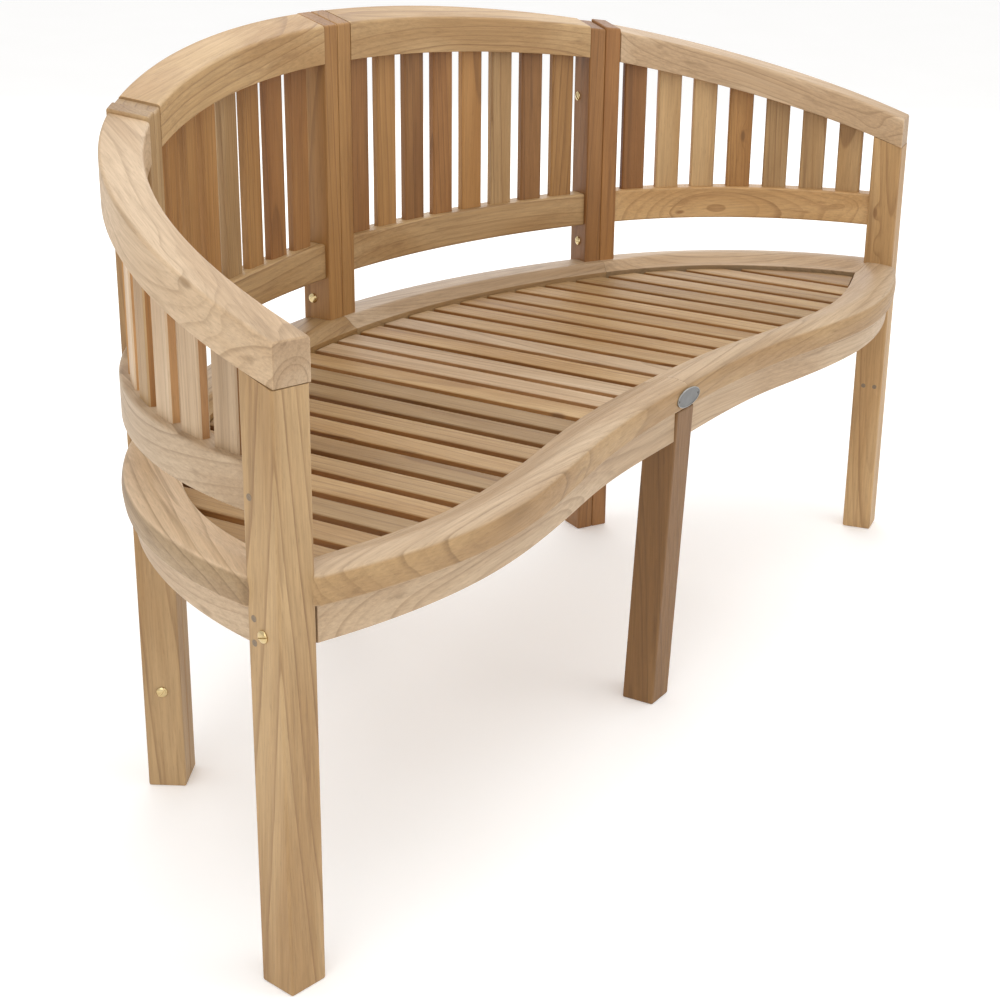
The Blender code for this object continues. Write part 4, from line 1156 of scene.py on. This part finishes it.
@dataclass
class SeatDeck:
    """Twenty-six seat slats from front to back, the ledge under their ends and two bearers.

    A slat's section is its length and thickness, swept across its width, and the undrawn length is so long that
    the rounded sides take nothing off the slat's ends. The centre leg's rake is a slope.
    """

    plan: Plan
    pitch: float = 0.0511
    slot: float = 0.0125
    count: int = 26
    top: float = 0.4101
    thickness: float = 0.020
    rounding: float = 0.002
    steps: int = 8
    usual_length: float = 0.30
    shortest: float = 0.002
    end_gap: float = 0.0007
    corner_gap: float = 0.004
    corner_end_gap: float = 0.0028
    undrawn: float = 40.0
    under_gap: float = 0.0001
    ledge_height: float = 0.0130
    ledge_inner: float = -0.013
    ledge_gap: float = 0.0005
    ledge_joint: float = 0.0002
    ledge_corner: float = 0.016
    ledge_rounding: float = 0.0012
    ledge_length: float = 0.9
    ledge_steps: int = 48
    bearer: tuple[float, float] = (0.040, 0.032)
    bearer_set_back: float = 0.27
    bearer_rounding: float = 0.002
    bearer_end: float = 0.001
    bearer_steps: int = 6
    apron_gap: float = 0.0004
    cross_drop: float = 0.0002
    centre_leg_ahead: float = 0.001
    centre_leg_rake: float = 0.0448
    rake_height: float = 0.36

    def slat(self, number: int) -> bpy.types.Object:
        """Builds one seat slat, shaped at both ends to the rim's lip.

        Args:
            number: its number from the left.

        Returns:
            The slat.
        """
        plan = self.plan
        low = (number - self.count / 2) * self.pitch + self.slot / 2
        high = (number + 1 - self.count / 2) * self.pitch - self.slot / 2
        corner = plan.lip_corner.x - self.corner_gap
        gap = self.end_gap
        if number == 0:
            low, gap = -corner, self.corner_end_gap
        if number == self.count - 1:
            high, gap = corner, self.corner_end_gap

        def place(share: float, point: Vector) -> Vector:
            """Place of a section point, which is a share of the slat's length, at a share of its width."""
            x = low + (high - low) * share
            front = plan.front_lip(abs(x)) + gap
            back = plan.back_lip(abs(x), -gap)
            length = max(self.shortest, back - front)
            end = math.copysign(min(0.5, abs(point.x)), point.x)
            return Vector((x, (front + back) / 2 + end * length, self.top - self.thickness / 2 + point.y))

        section = bar_section(self.usual_length, self.thickness, self.rounding)
        bmesh.ops.scale(section, vec=(1 / self.usual_length, 1.0, 1.0), verts=section.verts)
        stations = bar_stations(high - low, self.steps, self.rounding, self.rounding)
        bm = sweep(section, stations, place, (self.undrawn, self.thickness))
        board = new_piece(f"seat_slat_{number + 1:02d}", bm, Slot.SEAT_SLATS)
        # Painted shade on the slat's narrow sides, which show in the slots between slats
        Teak(board.name, Vector((0.0, 1.0, 0.0)), corner_mean(board), ring=0.0065, figure=0.4, contrast=0.62,
             facing=UPWARD).dress(board)
        return board

    def ledge(self, side: str) -> None:
        """Builds the ledge strips of one side under the ends of the slats.

        Args:
            side: left or right.
        """
        plan = self.plan
        size = (-self.ledge_inner - self.ledge_gap, self.ledge_height)
        level = self.top - self.thickness - self.ledge_height / 2 - self.under_gap
        middle = self.ledge_inner / 2

        def back(share: float, point: Vector) -> Vector:
            """Place on the strip along the side and the back."""
            angle = plan.corner_angle * (1 - share) + self.ledge_joint
            spot = plan.spot(angle, middle + point.x - plan.lip_offset(angle))
            return Vector((SIDES[side] * spot.x, spot.y, level + point.y))

        def front(share: float, point: Vector) -> Vector:
            """Place on the strip along the front."""
            x = self.ledge_joint + (plan.lip_corner.x - self.ledge_corner) * share
            return Vector((SIDES[side] * x, plan.front_lip(x) - middle - point.x, level + point.y))

        for label, place in (("back", back), ("front", front)):
            stations = bar_stations(self.ledge_length, self.ledge_steps, 0.0, 0.0)
            bm = sweep(bar_section(*size, self.ledge_rounding), stations, place, size)
            strip = new_piece(f"{side}_{label}_seat_ledge", bm, Slot.SEAT_SLATS)
            Teak(strip.name, lie(place), corner_mean(strip)).dress(strip)

    def bearers(self) -> None:
        """Builds the long bearer between the side aprons and the cross bearer behind the centre leg."""
        plan = self.plan
        y = plan.back_line - self.bearer_set_back
        level = self.top - self.thickness - self.bearer[1] / 2 - self.under_gap
        rails = LowerRails(plan)

        def inner_face(angle: float) -> Vector:
            """Plan place on the inner face of the side apron."""
            return plan.spot(angle, rails.apron_middle(angle) - rails.apron_thickness / 2)

        meetings = [last_true(plan.back_sweep, plan.leg_angle, lambda angle: inner_face(angle).y > edge)
                    for edge in (y - self.bearer[0] / 2, y + self.bearer[0] / 2)]
        reach = min(inner_face(angle).x for angle in meetings) - self.apron_gap
        raked = self.centre_leg_ahead - self.centre_leg_rake * self.rake_height
        front = plan.leg_spot.y + raked + plan.leg / 2
        back = plan.back_line - plan.leg / 2
        runs = (("seat_long_bearer", Vector((-reach, y, level)), Vector((reach, y, level)), 0.0),
                ("seat_cross_bearer", Vector((0.0, front, level)), Vector((0.0, back, level)), self.cross_drop))
        for name, start, end, drop in runs:
            along = (end - start).normalized()
            beside = Vector((-along.y, along.x, 0.0))

            def place(share: float, point: Vector) -> Vector:
                """Place of a section point at a share of the bearer."""
                return start + (end - start) * share + beside * point.x + Vector((0, 0, point.y - drop))

            stations = bar_stations((end - start).length, self.bearer_steps, self.bearer_end, self.bearer_end)
            bm = sweep(bar_section(*self.bearer, self.bearer_rounding), stations, place, self.bearer)
            piece = new_piece(name, bm, Slot.SEAT_SLATS)
            Teak(name, along, corner_mean(piece)).dress(piece)

    def build(self) -> None:
        """Builds the whole deck."""
        boards = [self.slat(number) for number in range(self.count)]
        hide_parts("seat_deck")
        for side in SIDES:
            self.ledge(side)
        self.bearers()


@dataclass
class Uprights:
    """Posts, legs and upright slats, whose solids stay and get their wood."""

    plan: Plan
    slat_ring: float = 0.0045
    post_ring: float = 0.006
    figure: float = 0.26
    contrast: float = 0.56

    def build(self) -> None:
        """Dresses every upright solid."""
        for name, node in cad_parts.items():
            if "slat_" not in name and "post" not in name and not name.endswith("leg"):
                continue
            ring = self.slat_ring if "slat_" in name else self.post_ring
            middle = corner_mean(node)
            # Arm slats get painted shade on their narrow sides, set by the direction of their broad faces
            facing = None
            if "arm_slat_" in name:
                side = SIDES[name.split("_")[0]]
                outward = middle.xy - Vector((side * self.plan.arm_centre.x, self.plan.arm_centre.y))
                facing = outward.to_3d()
            Teak(name, UPWARD, middle, ring, self.figure, self.contrast, facing).dress(node)
            LOG.info("dressed %s", name)


class Metal(Enum):
    """Metals of the fittings: colour, brighter colour where it is rubbed, roughness, and what it is."""

    BRASS = ("B8995F", "DCCBA2", 0.2, "turned_brass_polished")
    PLATE = ("707070", "80807F", 0.42, "stamped_metal_plate_dulled")
    BORDER = ("929290", "ACACA9", 0.34, "stamped_metal_border_rubbed_bright")
    NAIL = ("5A5752", "6E6A64", 0.45, "steel_nail_darkened")

    def dress(self, piece: bpy.types.Object) -> None:
        """Puts the metal on a piece, with the faint clouding of handled metal, 12 mm wide.

        Args:
            piece: the piece.
        """
        dull, bright, rough, name = self.value
        material = bpy.data.materials.new(name)
        material.use_nodes = True
        tree = material.node_tree
        tree.nodes.clear()
        coords = add_node(tree, "ShaderNodeTexCoord")
        cloud = add_node(tree, "ShaderNodeTexNoise", None,
                         {"Vector": coords.outputs["Object"], "Scale": 80.0, "Detail": 4.0}).outputs["Fac"]
        tint = add_node(tree, "ShaderNodeMix", {"data_type": "RGBA"},
                        {0: cloud, 6: linear(dull), 7: linear(bright)}).outputs[2]
        gloss = add_node(tree, "ShaderNodeMapRange", None, {
            "Value": cloud, "To Min": rough + 0.1, "To Max": rough - 0.06}).outputs["Result"]
        shader = add_node(tree, "ShaderNodeBsdfPrincipled", None, {
            "Base Color": tint, "Roughness": gloss, "Metallic": 1.0})
        add_node(tree, "ShaderNodeOutputMaterial", None, {"Surface": shader.outputs[0]})
        piece.data.materials.append(material)


def upright_face(spot: Vector, height: float, normal: Vector, side: str) -> Matrix:
    """Frame of a spot on an upright face: across, upward and out of the face.

    Args:
        spot: plan place.
        height: height of the spot.
        normal: plan direction out of the face.
        side: left or right.

    Returns:
        The frame.
    """
    out = Vector((SIDES[side] * normal.x, normal.y, 0.0)).normalized()
    turn = Matrix((UPWARD.cross(out), UPWARD, out)).transposed().to_4x4()
    return Matrix.Translation((SIDES[side] * spot.x, spot.y, height)) @ turn


@dataclass(frozen=True)
class Fixing:
    """Where a bolt or a peg sits: its plan place and height, the way out of its face and its slot's turn."""

    name: str
    spot: Vector
    height: float
    out: Vector
    turn: float = 0.0


@dataclass
class Fasteners:
    """Slotted brass bolt heads, and the wooden pegs that pin the joints of the front legs."""

    plan: Plan
    head: float = 0.0066
    dome: float = 0.0030
    foot: float = 0.0004
    depth: float = 0.002
    slot: float = 0.0011
    slot_floor: float = 0.0009
    dome_steps: int = 8
    peg: float = 0.0034
    proud: float = 0.00025
    rail_peg_height: float = 0.502
    apron_peg_heights: tuple[float, float] = (0.386, 0.362)
    inner_peg_height: float = 0.235

    def round_head(self, profile: list[tuple[float, float]]) -> bmesh.types.BMesh:
        """Turns a profile into a closed round head.

        Args:
            profile: radii and heights.

        Returns:
            The head's mesh.
        """
        bm = bmesh.new()
        verts = [bm.verts.new((radius, 0.0, height)) for radius, height in profile]
        edges = [bm.edges.new(pair) for pair in zip(verts, verts[1:])]
        bmesh.ops.spin(bm, geom=verts + edges, cent=(0, 0, 0), axis=(0, 0, 1), dvec=(0, 0, 0),
                       angle=2 * math.pi, steps=32, use_merge=True)
        bmesh.ops.remove_doubles(bm, verts=bm.verts, dist=1e-6)
        return bm

    def bolt(self, side: str, fixing: Fixing) -> None:
        """Builds one domed bolt head and sinks its slot.

        Args:
            side: left or right.
            fixing: where it sits.
        """
        profile = [(0.0, -self.depth), (self.head * 0.8, -self.depth), (self.head * 0.99, 0.0),
                   (self.head, self.foot)]
        for step in range(1, self.dome_steps):
            angle = step / self.dome_steps * math.pi / 2
            profile.append((self.head * math.cos(angle), self.foot + (self.dome - self.foot) * math.sin(angle)))
        bm = self.round_head(profile + [(0.0, self.dome)])
        for edge in (-self.slot, self.slot):
            bmesh.ops.bisect_plane(bm, geom=bm.verts[:] + bm.edges[:] + bm.faces[:], dist=1e-7,
                                   plane_co=(0.0, edge, 0.0), plane_no=(0.0, 1.0, 0.0))
        floor = [face for face in bm.faces if abs(face.calc_center_median().y) < self.slot
                 and min(vert.co.z for vert in face.verts) > self.slot_floor]
        made = bmesh.ops.extrude_face_region(bm, geom=floor)["geom"]
        bmesh.ops.delete(bm, geom=floor, context="FACES")
        for vert in made:
            if isinstance(vert, bmesh.types.BMVert):
                vert.co.z = self.slot_floor
        place = upright_face(fixing.spot, fixing.height, fixing.out, side)
        bmesh.ops.transform(bm, matrix=place @ Matrix.Rotation(fixing.turn, 4, "Z"), verts=bm.verts)
        Metal.BRASS.dress(new_piece(f"{side}_{fixing.name}", bm))

    def peg_end(self, side: str, fixing: Fixing) -> None:
        """Builds the end of one wooden peg, sanded almost flush.

        Args:
            side: left or right.
            fixing: where it sits.
        """
        bm = self.round_head([(0.0, -self.depth), (self.peg, -self.depth), (self.peg, self.proud * 0.4),
                              (self.peg * 0.93, self.proud), (0.0, self.proud)])
        place = upright_face(fixing.spot, fixing.height, fixing.out, side)
        bmesh.ops.transform(bm, matrix=place, verts=bm.verts)
        peg = new_piece(f"{side}_{fixing.name}", bm)
        Teak("peg_end", place.to_3x3().col[2].copy(), corner_mean(peg), ring=0.0012, figure=0.3).dress(peg)

    def build(self, side: str) -> None:
        """Puts in the fasteners of one side.

        Args:
            side: left or right.
        """
        plan = self.plan
        outward = plan.along(plan.leg_turn)
        ahead = Vector((math.cos(plan.back_sweep), -math.sin(plan.back_sweep)))
        near = plan.pair_post + plan.fit / 2

        def on_leg(along: float, face: int) -> Vector:
            """Plan place on the outer or the inner face of the front leg."""
            return plan.beside(plan.leg_spot, plan.leg_turn, along, face * plan.leg / 2)

        def on_pair(along: float, across: float = 0.0) -> Vector:
            """Plan place on the sides of the pair posts."""
            return plan.beside(plan.pair_spot, plan.back_sweep, along, across)

        middle = Vector((plan.middle_post + plan.fit / 2, plan.back_line + 0.0068))
        for bolt in (Fixing("front_leg_bolt", on_leg(-0.0014, 1), 0.3717, outward, 0.25),
                     Fixing("arm_pair_low_bolt", on_pair(near), 0.1205, ahead, 0.9),
                     Fixing("back_pair_high_bolt", on_pair(-near, 0.0099), 0.6695, -ahead, -0.9),
                     Fixing("back_pair_low_bolt", on_pair(-near), 0.457, -ahead, 0.1),
                     Fixing("middle_post_bolt", middle, 0.455, Vector((1.0, 0.0)), 0.5)):
            self.bolt(side, bolt)
        pegs = [Fixing("rail_peg", on_leg(-0.013, 1), self.rail_peg_height, outward)]
        pegs += [Fixing(f"apron_peg_{number}", on_leg(-0.013, 1), height, outward)
                 for number, height in enumerate(self.apron_peg_heights, 1)]
        pegs += [Fixing(f"inner_peg_{number}", on_leg(along, -1), self.inner_peg_height, -outward)
                 for number, along in enumerate((-0.0064, 0.0107), 1)]
        for peg in pegs:
            self.peg_end(side, peg)


@dataclass
class NamePlate:
    """The bare oval plate nailed to the middle of the front rim."""

    plan: Plan
    size: tuple[float, float] = (0.057, 0.023)
    height: float = 0.409
    offset: float = -0.002
    thickness: float = 0.0011
    border: float = 0.0008
    border_rise: float = 0.0004
    inset: float = 0.0003
    bedding: float = 0.0002
    nail: float = 0.0014
    nail_flatness: float = 0.45
    nail_spot: float = 0.0243
    bend_start: float = -0.002
    bend_rate: float = 8.0

    def bend(self, point: Vector) -> Vector:
        """Lays a point of the flat plate on the rim's face, bent a little back at its lower edge.

        Args:
            point: a point of the flat plate.

        Returns:
            Its place on the rim.
        """
        back = self.bend_rate * min(0.0, point.y - self.bend_start) ** 2
        return Vector((point.x + self.offset, self.plan.front_outer(0.0) - self.bedding - point.z + back,
                       self.height + point.y))

    def finish(self, name: str, bm: bmesh.types.BMesh, metal: Metal) -> None:
        """Bends a flat mesh onto the rim and dresses it.

        Args:
            name: the piece's name.
            bm: the flat mesh.
            metal: its metal.
        """
        for vert in bm.verts:
            vert.co = self.bend(vert.co)
        metal.dress(new_piece(name, bm))

    def oval(self, inset: float) -> bmesh.types.BMesh:
        """Cuts a flat oval.

        Args:
            inset: how far it lies inside the plate's outline.

        Returns:
            A mesh of one face.
        """
        bm = bmesh.new()
        bmesh.ops.create_circle(bm, cap_ends=True, segments=64, radius=0.5)
        bmesh.ops.scale(bm, vec=(self.size[0] - 2 * inset, self.size[1] - 2 * inset, 1.0), verts=bm.verts)
        return bm

    def thicken(self, bm: bmesh.types.BMesh, height: float) -> None:
        """Gives a flat mesh its thickness.

        Args:
            bm: the flat mesh.
            height: the thickness.
        """
        made = bmesh.ops.extrude_face_region(bm, geom=bm.faces[:])["geom"]
        raised = [item for item in made if isinstance(item, bmesh.types.BMVert)]
        bmesh.ops.translate(bm, vec=(0.0, 0.0, height), verts=raised)

    def build(self) -> None:
        """Builds the plate, its raised border and its two nails."""
        plate = self.oval(self.inset)
        self.thicken(plate, self.thickness)
        self.finish("oval_plate", plate, Metal.PLATE)
        border = self.oval(0.0)
        bmesh.ops.inset_region(border, faces=border.faces[:], thickness=self.border, use_boundary=True,
                               use_even_offset=True)
        middle = max(border.faces, key=lambda face: face.calc_area())
        bmesh.ops.delete(border, geom=[middle], context="FACES")
        self.thicken(border, self.thickness + self.border_rise)
        self.finish("oval_plate_border", border, Metal.BORDER)
        for number, place in enumerate((-self.nail_spot, self.nail_spot), 1):
            nail = bmesh.new()
            bmesh.ops.create_icosphere(nail, subdivisions=3, radius=self.nail,
                                       matrix=Matrix.Translation((place, 0.0, self.thickness)) @
                                       Matrix.Diagonal((1.0, 1.0, self.nail_flatness, 1.0)))
            self.finish(f"oval_plate_nail_{number}", nail, Metal.NAIL)


@dataclass(frozen=True)
class Softbox:
    """A wide soft lamp: where it stands, where it aims, its size in metres and its power in watts."""

    name: str
    place: tuple[float, float, float]
    aim: tuple[float, float, float]
    size: float
    power: float

    def build(self) -> None:
        """Stands the lamp."""
        light = bpy.data.lights.new(self.name, "AREA")
        light.size = self.size
        light.energy = self.power
        lamp = bpy.data.objects.new(self.name, light)
        lamp.location = self.place
        lamp.rotation_euler = (Vector(self.aim) - Vector(self.place)).to_track_quat("-Z", "Y").to_euler()
        bpy.context.scene.collection.objects.link(lamp)


@dataclass(frozen=True)
class Studio:
    """A plain pale floor, soft light and the photograph's camera."""

    place: tuple[float, float, float] = (-1.9191, -1.1920, 1.0798)
    yaw: float = 1.0464
    pitch: float = 0.3612
    roll: float = 0.0227
    focal: float = 66.977
    shift: tuple[float, float] = (-0.060, -0.0019)
    room_light: float = 0.85
    floor_glow: float = 0.18
    softboxes: tuple[Softbox, ...] = (
        Softbox("softbox_behind", (3.2, 2.1, 2.2), (0.0, 0.0, 0.5), 3.2, 52.0),
        Softbox("softbox_overhead", (-0.3, -0.5, 3.3), (0.0, 0.0, 0.4), 2.8, 38.0),
        Softbox("softbox_left", (-3.7, -0.7, 1.9), (0.0, 0.0, 0.5), 2.2, 27.0),
        Softbox("softbox_front", (1.0, -3.8, 2.0), (0.0, 0.0, 0.4), 2.4, 16.0))

    def build(self) -> None:
        """Sets up floor, lights and camera."""
        self.floor()
        self.lights()
        self.camera()
        LOG.info("studio ready")

    def floor(self) -> None:
        """Lays a plain pale floor."""
        bm = bmesh.new()
        bmesh.ops.create_grid(bm, x_segments=4, y_segments=4, size=30.0)
        mesh = bpy.data.meshes.new("studio_floor")
        bm.to_mesh(mesh)
        bm.free()
        floor = bpy.data.objects.new("studio_floor", mesh)
        bpy.context.scene.collection.objects.link(floor)
        # Matt painted board, seamless and even, so that it gives only a soft shadow
        material = bpy.data.materials.new("matt_white_painted_board")
        material.use_nodes = True
        tree = material.node_tree
        coords = add_node(tree, "ShaderNodeTexCoord")
        noise = add_node(tree, "ShaderNodeTexNoise", None, {"Vector": coords.outputs["Object"], "Scale": 3.0})
        tint = add_node(tree, "ShaderNodeMix", {"data_type": "RGBA"}, {
            0: noise.outputs["Fac"], 6: linear("F4F3F1"), 7: linear("F8F7F6")})
        shader = tree.nodes["Principled BSDF"]
        tree.links.new(tint.outputs[2], shader.inputs["Base Color"])
        shader.inputs["Roughness"].default_value = 0.9
        shader.inputs["Emission Color"].default_value = linear("FFFFFF")
        shader.inputs["Emission Strength"].default_value = self.floor_glow
        mesh.materials.append(material)

    def lights(self) -> None:
        """Stands wide soft lights before and behind the bench in an even white room."""
        world = bpy.data.worlds.new("white_room")
        bpy.context.scene.world = world
        world.use_nodes = True
        background = world.node_tree.nodes["Background"]
        background.inputs["Color"].default_value = linear("FFFFFF")
        background.inputs["Strength"].default_value = self.room_light
        for softbox in self.softboxes:
            softbox.build()

    def camera(self) -> None:
        """Sets the camera at the photograph's viewing angle."""
        data = bpy.data.cameras.new("photo_camera")
        data.sensor_width = 36.0
        data.lens = self.focal
        data.shift_x, data.shift_y = self.shift
        data.clip_end = 100.0
        camera = bpy.data.objects.new("photo_camera", data)
        ahead = Vector((math.sin(self.yaw) * math.cos(self.pitch), math.cos(self.yaw) * math.cos(self.pitch),
                        -math.sin(self.pitch)))
        right = ahead.cross(UPWARD).normalized()
        turn = Matrix((right, right.cross(ahead), -ahead)).transposed().to_4x4()
        camera.matrix_world = Matrix.Translation(self.place) @ turn @ Matrix.Rotation(self.roll, 4, "Z")
        bpy.context.scene.collection.objects.link(camera)
        bpy.context.scene.camera = camera
        bpy.context.scene.view_settings.view_transform = "Standard"


def main() -> None:
    """Builds every sub-assembly in order."""
    logging.basicConfig(level=logging.INFO, format="%(name)s: %(message)s")
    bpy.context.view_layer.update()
    plan = Plan()
    Studio().build()
    top_rails = TopRails(plan)
    rails = LowerRails(plan)
    rim = SeatRim(plan)
    fasteners = Fasteners(plan)
    for side in SIDES:
        for panel in Panel:
            top_rails.build(side, panel)
        rails.build(side)
        rails.build_front(side)
        rim.build(side)
        fasteners.build(side)
    SeatDeck(plan).build()
    Uprights(plan).build()
    NamePlate(plan).build()


if __name__ == "__main__":
    main()
